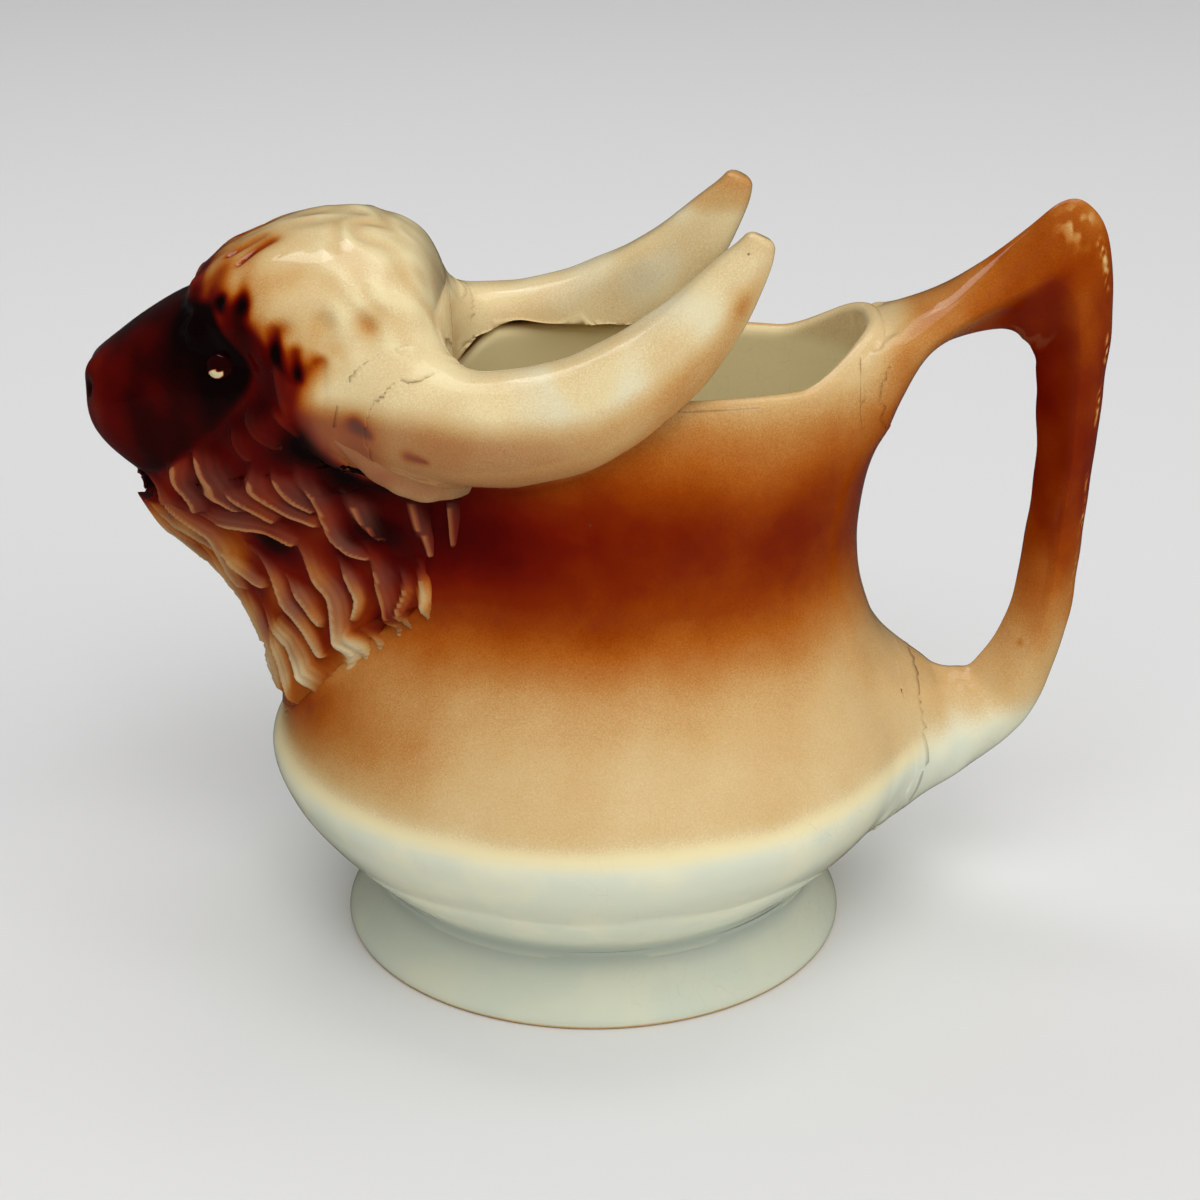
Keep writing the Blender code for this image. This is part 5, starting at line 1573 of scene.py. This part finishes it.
def cloud(tree, place, size, detail=2.0, roughness=0.5):
    """A noise of the given feature size, from 0 to 1."""
    made = node(tree, "ShaderNodeTexNoise")
    link(tree, place, made.inputs["Vector"])
    made.inputs["Scale"].default_value = 1 / size
    made.inputs["Detail"].default_value = detail
    made.inputs["Roughness"].default_value = roughness
    return made.outputs["Fac"]


def field(tree, name):
    """A field that the mesh carries."""
    return node(tree, "ShaderNodeAttribute", attribute_name=name).outputs["Fac"]


def stain_density(tree, place, speckle):
    """Density of the stain: the mesh's own, speckled where it is thin, and in soft patches."""
    stain = field(tree, "stain")
    thin = times(tree, stretch(tree, stain, 0.0, 0.16), stretch(tree, stain, 0.95, 0.40))
    grain = centred(tree, cloud(tree, place, SPECKLE_SIZE, 3.0, 0.65), SPECKLE_AMOUNT * speckle)
    patches = centred(tree, cloud(tree, place, PATCH_SIZE, 3.0, 0.6), PATCH_AMOUNT)
    patches = times(tree, patches, stretch(tree, stain, 0.0, 0.2))
    return sum_of(tree, "ADD", sum_of(tree, "ADD", stain, times(tree, grain, thin)), patches)


def stain_colour(tree, density):
    """Colour of the stain over the cream ground, by its density."""
    ramp = node(tree, "ShaderNodeValToRGB")
    stops = ramp.color_ramp.elements
    for share, tone in STAIN_TONES[2:]:
        stops.new(share)
    for stop, (share, tone) in zip(stops, STAIN_TONES):
        stop.position = share
        stop.color = (*tone, 1.0)
    link(tree, times(tree, density, 1 / STAIN_FULL), ramp.inputs["Fac"])
    return ramp.outputs["Color"]


def ground_colour(tree, place):
    """The pale green ground with creamy clouds, blue grey where the glaze pools."""
    clouds = stretch(tree, cloud(tree, place, GROUND_CLOUD_SIZE, 2.0), 0.40, 0.70)
    ground = tint(tree, clouds, GROUND_GREEN, GROUND_PALE)
    return tint(tree, field(tree, "pool"), ground, POOL_BLUE)


def crazing(tree, place, density):
    """Fine crackle lines: the edges of warped cells, in some areas and where the stain is thin."""
    shift = node(tree, "ShaderNodeTexNoise")
    shift.inputs["Scale"].default_value = 1 / CRAZE_WARP_SIZE
    link(tree, place, shift.inputs["Vector"])
    scaled = node(tree, "ShaderNodeVectorMath", operation="SCALE")
    scaled.inputs["Scale"].default_value = CRAZE_WARP
    link(tree, shift.outputs["Color"], scaled.inputs[0])
    warped = node(tree, "ShaderNodeVectorMath", operation="ADD")
    link(tree, place, warped.inputs[0])
    link(tree, scaled.outputs[0], warped.inputs[1])
    cells = node(tree, "ShaderNodeTexVoronoi", feature="DISTANCE_TO_EDGE")
    link(tree, warped.outputs[0], cells.inputs["Vector"])
    cells.inputs["Scale"].default_value = 1 / CRAZE_CELL
    lines = stretch(tree, cells.outputs["Distance"], 0.022, 0.004)
    lines = times(tree, lines, stretch(tree, cloud(tree, place, CRAZE_AREA_SIZE), 0.48, 0.62))
    return times(tree, lines, stretch(tree, density, 0.62, 0.30))


def pinholes(tree, place):
    """Small round pits in a few of many cells."""
    dots = node(tree, "ShaderNodeTexVoronoi", feature="F1")
    link(tree, place, dots.inputs["Vector"])
    dots.inputs["Scale"].default_value = 1 / PIT_CELL
    chosen = stretch(tree, dots.outputs["Color"], 0.80, 0.82)
    return times(tree, stretch(tree, dots.outputs["Distance"], 0.045, 0.025), chosen)


def glaze(name, speckle=1.0, gloss=0.07):
    """A fired glaze: sprayed stain over a cream or pale green ground, speckled where it is thin, crazed
    and pinholed, with a slightly uneven glossy surface."""
    material = bpy.data.materials.new(name)
    material.use_nodes = True
    tree = material.node_tree
    shader = tree.nodes["Principled BSDF"]
    place = node(tree, "ShaderNodeTexCoord").outputs["Object"]
    density = stain_density(tree, place, speckle)
    pits = pinholes(tree, place)

    bare = times(tree, stretch(tree, density, 0.30, 0.02), field(tree, "green"))
    colour = tint(tree, bare, stain_colour(tree, density), ground_colour(tree, place))
    # Pinkish tint, partly painted sheen
    colour = tint(tree, field(tree, "mauve"), colour, MAUVE_AND_SHEEN_TONE)
    colour = tint(tree, times(tree, crazing(tree, place, density), CRAZE_AMOUNT), colour, CRAZE_TAN)
    colour = tint(tree, times(tree, pits, 0.7), colour, PIT_BROWN)
    link(tree, colour, shader.inputs["Base Color"])

    dull = cloud(tree, place, DULL_SIZE, 3.0, 0.6)
    link(tree, stretch(tree, dull, 0.35, 0.75, gloss, gloss + DULL_AMOUNT), shader.inputs["Roughness"])
    shader.inputs["IOR"].default_value = 1.5
    shader.inputs["Specular IOR Level"].default_value = 0.42
    shader.inputs["Metallic"].default_value = 0.0

    height = times(tree, cloud(tree, place, RIPPLE_SIZE, 2.0), RIPPLE_DEPTH)
    height = sum_of(tree, "ADD", height, times(tree, cloud(tree, place, SWELL_SIZE, 1.0), SWELL_DEPTH))
    height = sum_of(tree, "SUBTRACT", height, times(tree, pits, PIT_DEPTH))
    bump = node(tree, "ShaderNodeBump")
    bump.inputs["Strength"].default_value = 0.6
    bump.inputs["Distance"].default_value = 1.0
    link(tree, height, bump.inputs["Height"])
    link(tree, bump.outputs["Normal"], shader.inputs["Normal"])
    return material


def dress(piece, material, slot_name):
    """Gives a piece its glaze and its body, and hides the imported part of the given name that it stands
    for.
    """
    piece.data.materials.clear()
    piece.data.materials.append(material)
    piece.data.polygons.foreach_set("material_index", np.zeros(len(piece.data.polygons), np.int32))
    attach(piece, "root")
    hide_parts(slot_name)


def passage_share(points):
    """Distance from the pour passage's middle line over its radius: 1 on its oval wall."""
    along = (points[..., 0] - PASSAGE_START_X) / (PASSAGE_END_X - PASSAGE_START_X)
    half_width, half_height, height = passage_oval(along)
    share = np.hypot(points[..., 1] / half_width, (points[..., 2] - height) / half_height)
    return np.where((along > PASSAGE_SHADE_SHARE) & (along < 1.0), share, 9.0)


def paint_passage_shade(mesh):
    """Paints shade on the pour passage's cut walls: a near black stain inside the tunnel."""
    points = np.empty(len(mesh.vertices) * 3, np.float32)
    mesh.vertices.foreach_get("co", points)
    cut = over(passage_share(points.reshape(-1, 3).astype(float)), PASSAGE_SHADE_EDGE_SPAN)
    for name, tone in (("stain", PASSAGE_SHADE_DENSITY), ("green", 0.0), ("mauve", 0.0), ("pool", 0.0)):
        layer = mesh.attributes[name]
        values = np.empty(len(mesh.vertices), np.float32)
        layer.data.foreach_get("value", values)
        layer.data.foreach_set("value", (values + (tone - values) * cut).astype(np.float32))


def cut_passage(piece, cutter):
    """Cuts the pour passage through a piece and applies the cut."""
    cut = piece.modifiers.new("Pour passage", "BOOLEAN")
    cut.operation = "DIFFERENCE"
    cut.solver = "MANIFOLD"
    cut.object = cutter
    graph = bpy.context.evaluated_depsgraph_get()
    mesh = bpy.data.meshes.new_from_object(piece.evaluated_get(graph), depsgraph=graph)
    old = piece.data
    piece.modifiers.clear()
    piece.data = mesh
    mesh.name = piece.name
    bpy.data.meshes.remove(old)
    mesh.shade_smooth()
    paint_passage_shade(mesh)


def mirrored(grid):
    """The same rings on the other side of the middle plane, turned the right way out."""
    return (grid * (1.0, -1.0, 1.0))[:, ::-1]


def swollen(points, normals, amount, name):
    """A grid with the named unevenness added along its normals."""
    return points + (amount * wobble(points, name))[..., None] * normals


def off_lip(points, fused, run):
    """A fused grid, held to its unfused places at the lip and blended in below it."""
    below = ease((rim_height(points[..., 0]) - points[..., 2] - LIP_CLEAR) / run)
    return points + (fused - points) * below[..., None]


def plain_grids():
    """The pieces' grids before they are fused, each with its outward normals, and the two pads' insides."""
    closed = {
        "vessel": vessel_rings(count(190), count(320)),
        "head": head_grid(),
        "horn": horn_grid(),
        "ear": ear_grid(),
        "handle": handle_grid(),
        "foot": foot_rings(),
    }
    grids = {name: (rings, ring_normals(rings)) for name, rings in closed.items()}
    insides = {}
    for name, made in (("forelock", forelock_grid()), ("mane", mane_grid())):
        grids[name] = made[0], patch_normals(made[0])
        insides[name] = made[1]
    return grids, insides


def neighbour_skins(grids):
    """The skins that gaps are measured to: those of single pieces, and of horns and ears on both sides."""
    flip = np.array([1.0, -1.0, 1.0])
    skins = {name: skin_of(*grids[name]) for name in ("vessel", "head", "mane", "handle", "horn", "ear")}
    skins["mane"] = off_wall(skins["mane"])
    skins["handle"] = off_wall(skins["handle"])
    rows = count(FOOT_ROWS)
    skins["foot"] = skin_of(*(part[-rows:] for part in grids["foot"]))
    for name in ("horn", "ear"):
        skins[name + "s"] = tuple(np.concatenate([part, part * flip]) for part in skins[name])
    return skins


def lip_rings(outer, inner, normals):
    """Rings round the lip: half a circle of the wall's thickness from the outside to the inside."""
    middle = (outer[-1] + inner[-1]) / 2
    flat = normals[-1] * (1.0, 1.0, 0.0)
    flat = flat / np.linalg.norm(flat, axis=1, keepdims=True)
    up = np.array([0.0, 0.0, 1.0])
    turns = np.linspace(0.0, math.pi, LIP_STEPS)[1:-1]
    return np.array([middle + WALL / 2 * (flat * math.cos(turn) + up * math.sin(turn)) for turn in turns])


def add_body(grids, skins, passage):
    """The body: its fused outside, the lip, the inside at the wall's thickness and a floor, one solid."""
    outer, normals = grids["vessel"]
    inner = outer - WALL * normals
    lip = lip_rings(outer, inner, normals)
    half = LIP_STEPS // 2 - 1
    floor_height = BASE_HEIGHT + FLOOR
    inside = inner[inner[:, :, 2].min(axis=1) > floor_height][::-2]
    centre = np.array([VESSEL_X, 0.0, floor_height])
    floors = np.array([(inside[-1] - centre) * (s, s, s**3) + centre for s in FLOOR_SHARES])
    outside = np.concatenate([outer, lip[:half]])
    fused = fuse(outside, ring_normals(outside), [
        (skins["handle"], FILLET_HANDLE), (skins["mane"], FILLET_MANE), (skins["head"], FILLET_HEAD),
        (skins["horns"], FILLET_HORN), (skins["foot"], FILLET_FOOT),
    ])
    fused = off_lip(outside, fused, BODY_LIP_RUN)
    fused = swollen(fused, ring_normals(fused), BODY_SWELL, "body")
    rings = np.concatenate([fused, lip[half:], inside, floors])
    is_inside = np.zeros(rings.shape[:2], bool)
    is_inside[len(outer) + half + 2:] = True
    ends = (np.array([VESSEL_X, 0.0, BASE_HEIGHT]), centre)
    body = ring_solid("body_glazed", rings, body_fields(rings, is_inside), ends)
    cut_passage(body, passage)
    dress(body, glaze("body_glaze"), "body")


def add_foot(grids, skins):
    """The foot ring, its profile closed into itself."""
    fused = fuse(*grids["foot"], [(skins["vessel"], FILLET_FOOT)])
    rows, columns = fused.shape[:2]
    column = np.arange(columns)
    after = (column + 1) % columns
    last = (rows - 1) * columns
    bridge = np.stack([last + column, last + after, after, column], axis=1)
    quads = np.concatenate([grid_faces(rows, columns), bridge])
    fans = np.zeros((0, 3), int)
    points = fused.reshape(-1, 3)
    if volume(points, quads, fans) < 0:
        quads = quads[:, ::-1]
    fields = {name: values.ravel() for name, values in foot_fields(fused).items()}
    dress(make_mesh("foot_glazed", points, quads, fans, fields), glaze("foot_glaze"), "foot_ring")


def head_joints(skins):
    """The neighbours of the head and the forelock, each with its fillet."""
    return [
        (skins["mane"], FILLET_CHEEK), (skins["horns"], FILLET_HORN_ROOT), (skins["ears"], FILLET_EAR),
        (skins["vessel"], FILLET_HEAD),
    ]


def add_head(grids, skins, passage):
    """The head: sculpted face, combed crown and carved cheeks."""
    head = fuse(*grids["head"], head_joints(skins))
    normals = ring_normals(head)
    head = carve_crown(sculpt_face(head, normals), normals)
    head, relief = carve_hair(head, normals)
    head = lid(head)
    piece = ring_solid("head_glazed", head, head_fields(head, relief))
    cut_passage(piece, passage)
    dress(piece, glaze("face_glaze", speckle=0.7, gloss=0.045), "bison_head")


def add_forelock(grids, skins, inside):
    """The forelock: a pad combed with the crown."""
    forelock = fuse(*grids["forelock"], head_joints(skins))
    normals = patch_normals(forelock)
    forelock, relief = carve_hair(carve_crown(forelock, normals), normals)
    piece = pad_solid("forelock_glazed", lid(forelock), lid(inside), head_fields, relief)
    dress(piece, glaze("forelock_glaze"), "forelock")


def add_mane(grids, skins, inside, passage):
    """The mane: a pad of carved locks round the front of the neck."""
    mane = fuse(*grids["mane"], [
        (skins["head"], FILLET_CHEEK), (skins["vessel"], FILLET_MANE), (skins["horns"], FILLET_EAR),
        (skins["ears"], FILLET_EAR),
    ])
    mane, relief = carve_hair(mane, patch_normals(mane))
    piece = pad_solid("mane_glazed", mane, inside, mane_fields, relief)
    cut_passage(piece, passage)
    dress(piece, glaze("mane_glaze", speckle=0.6, gloss=0.05), "mane")


def fused_horn(grids, skins):
    """The right horn, fused with the head, the vessel and its ear."""
    horn = fuse(*grids["horn"], [
        (skins["head"], FILLET_HORN_ROOT), (skins["vessel"], FILLET_HORN), (skins["ear"], FILLET_EAR),
    ])
    free = over(horn[..., 0], HORN_FREE_SPAN)
    return swollen(horn, ring_normals(horn), HORN_SWELL * free, "horn")


def fused_ear(grids, skins):
    """The right ear, fused with its horn, the mane and the head, and hollowed."""
    ear = fuse(*grids["ear"], [(skins[name], FILLET_EAR) for name in ("horn", "mane", "head")])
    normals = ring_normals(ear)
    ear = swollen(ear, normals, EAR_SWELL, "ear")
    return ear - (EAR_HOLLOW_DEPTH * ear_hollow(ear))[..., None] * normals


def add_side(horn, ear, word, side):
    """The horn, ear and eye of one side, the horn's root glazed as the head."""
    turned = mirrored if side < 0 else np.asarray
    horn = turned(horn)
    ragged = HORN_SEAT + HORN_SEAT_SWELL * wobble(horn * (1, 0, 0), "horn_seat_" + word)
    horn = lid(horn, ragged)
    rooted = ease((HORN_JOIN_X - horn[..., 0]) / HORN_JOIN_RUN)
    fields = blended(horn_fields(horn), head_fields(horn, 0 * rooted), rooted)
    dress(ring_solid("horn_glazed_" + word, horn, fields), glaze("horn_glaze_" + word), "horn_" + word)
    ear = turned(ear)
    dress(ring_solid("ear_glazed_" + word, ear, ear_fields(ear)), glaze("ear_glaze_" + word), "ear_" + word)
    dress(eye_ball("eye_glazed_" + word, side), glaze("eye_glaze_" + word, gloss=0.04), "eye_" + word)


def add_handle(grids, skins):
    """The handle, fused with the body below the lip."""
    handle, normals = grids["handle"]
    handle = off_lip(handle, fuse(handle, normals, [(skins["vessel"], FILLET_HANDLE)]), HANDLE_LIP_RUN)
    free = over(-inside_vessel(handle), HANDLE_FREE_SPAN)
    uneven = BODY_SWELL * wobble(handle, "body") + HANDLE_SWELL * free * wobble(handle, "handle")
    handle = handle + uneven[..., None] * ring_normals(handle)
    ends = let_in(np.array([handle[0].mean(axis=0), handle[-1].mean(axis=0)]), 1.0)
    dress(ring_solid("handle_glazed", handle, handle_fields(handle), ends), glaze("handle_glaze"), "handle")


def build_pitcher():
    """Every piece, fused with its neighbours, carved and glazed."""
    grids, insides = plain_grids()
    skins = neighbour_skins(grids)
    # The cutter carries a near black stain onto the cut walls: painted shade
    passage = ring_solid("passage_cutter", passage_grid(), glaze_fields(PASSAGE_ROOT_SHADE_DENSITY))
    add_body(grids, skins, passage)
    add_foot(grids, skins)
    add_head(grids, skins, passage)
    add_forelock(grids, skins, insides["forelock"])
    add_mane(grids, skins, insides["mane"], passage)
    horn = fused_horn(grids, skins)
    ear = fused_ear(grids, skins)
    for word, side in (("left", -1), ("right", 1)):
        add_side(horn, ear, word, side)
    add_handle(grids, skins)
    bpy.data.objects.remove(passage, do_unlink=True)


def eye_ball(name, side):
    """An eyeball set into the head: near black, with a cream white low on it and a dark pupil."""
    station = np.linspace(0.0, 1.0, len(HEAD_REACH_SHARES))
    share = np.interp((EYE_X - NOSE_X) / (NAPE_X - NOSE_X), HEAD_REACH_SHARES, station)
    section = head_skin(np.full(60, share), np.linspace(-math.pi / 4, math.pi / 2, 60))
    stand = np.interp(EYE_HEIGHT, section[:, 2], section[:, 1])
    centre = np.array([EYE_X, side * (stand - EYE_RADIUS * (1 - EYE_STAND_SHARE)), EYE_HEIGHT])
    latitude = np.linspace(-math.pi / 2, math.pi / 2, 42)[1:-1, None]
    longitude = turn_angles(64)[None, :]
    ball = (np.cos(latitude) * np.cos(longitude), np.cos(latitude) * np.sin(longitude), np.sin(latitude))
    ball = np.stack(np.broadcast_arrays(*ball), axis=-1)
    rings = centre + EYE_RADIUS * ball * EYE_SHARES
    x, y, z = in_millimetres(rings)
    outward = side * (rings[..., 1] - centre[1]) > 0
    slant = WHITE_SLANT * (z - WHITE_HEIGHT)
    white = np.hypot((x - WHITE_X - slant) / WHITE_LENGTH, (z - WHITE_HEIGHT) / WHITE_DEPTH)
    pupil = np.hypot(x - PUPIL_X, z - PUPIL_HEIGHT) / PUPIL_RADIUS
    shown = over(white, WHITE_EDGE_SPAN) * over(pupil, PUPIL_EDGE_SPAN) * outward
    return ring_solid(name, rings, glaze_fields(1.15 - 1.05 * shown, green=0.3 * shown))


def mixed(tree, first, second, target):
    """Shows the first shader, and the second one in the glaze's reflections."""
    mix = node(tree, "ShaderNodeMixShader")
    link(tree, node(tree, "ShaderNodeLightPath").outputs["Is Glossy Ray"], mix.inputs["Fac"])
    link(tree, first.outputs[0], mix.inputs[1])
    link(tree, second.outputs[0], mix.inputs[2])
    link(tree, mix.outputs[0], target.inputs["Surface"])


def paper():
    """A plain pale paper, dimmer in the glaze's reflections."""
    material = bpy.data.materials.new("paper")
    material.use_nodes = True
    tree = material.node_tree
    shader = tree.nodes["Principled BSDF"]
    seen = node(tree, "ShaderNodeLightPath").outputs["Is Camera Ray"]
    link(tree, tint(tree, seen, FLOOR_BOUNCE_TONE, FLOOR_TONE), shader.inputs["Base Color"])
    shader.inputs["Roughness"].default_value = 1.0
    shader.inputs["Specular IOR Level"].default_value = 0.0
    dim = node(tree, "ShaderNodeBsdfDiffuse")
    dim.inputs["Color"].default_value = (*FLOOR_GLOSS_TONE, 1.0)
    mixed(tree, shader, dim, tree.nodes["Material Output"])
    return material


def add_floor():
    """A flat pale floor that fills the picture."""
    half = FLOOR_SIZE / 2
    points = np.array([(-half, -half, 0.0), (half, -half, 0.0), (half, half, 0.0), (-half, half, 0.0)])
    floor = make_mesh("floor", points, np.array([[0, 1, 2, 3]]), np.zeros((0, 3), int), {})
    floor.data.materials.append(paper())


def add_sky():
    """An even pale world, dimmer in the glaze's reflections."""
    world = bpy.data.worlds.new("studio")
    bpy.context.scene.world = world
    world.use_nodes = True
    tree = world.node_tree
    even, dim = tree.nodes["Background"], node(tree, "ShaderNodeBackground")
    for light, strength in ((even, SKY_STRENGTH), (dim, SKY_GLOSS_STRENGTH)):
        light.inputs["Color"].default_value = (*SKY_TONE, 1.0)
        light.inputs["Strength"].default_value = strength
    mixed(tree, even, dim, tree.nodes["World Output"])


def add_lamps():
    """Broad soft lamps; some stay out of the glaze's reflections."""
    for name, place, width, height, watts, reflected in LAMPS:
        light = bpy.data.lights.new(name, "AREA")
        light.shape = "RECTANGLE"
        light.size, light.size_y = width, height
        light.energy = watts
        lamp = bpy.data.objects.new(name, light)
        lamp.location = place
        way = np.array(LAMP_TARGET) - np.array(place)
        tilt = math.acos(-way[2] / np.linalg.norm(way))
        lamp.rotation_euler = (tilt, 0.0, math.atan2(way[1], way[0]) - math.pi / 2)
        lamp.visible_glossy = reflected
        bpy.context.scene.collection.objects.link(lamp)


def add_camera():
    """The camera at the photograph's place, 23 degrees above the level."""
    data = bpy.data.cameras.new("camera")
    data.sensor_width = CAMERA_SENSOR
    data.lens = CAMERA_LENS
    data.clip_start, data.clip_end = CAMERA_CLIP
    camera = bpy.data.objects.new("camera", data)
    camera.location = CAMERA_PLACE
    camera.rotation_euler = (CAMERA_TILT, 0.0, CAMERA_TURN)
    bpy.context.scene.collection.objects.link(camera)
    bpy.context.scene.camera = camera


bpy.context.scene.view_settings.view_transform = "Standard"
build_pitcher()
add_floor()
add_sky()
add_lamps()
add_camera()

bpy.context.view_layer.update()
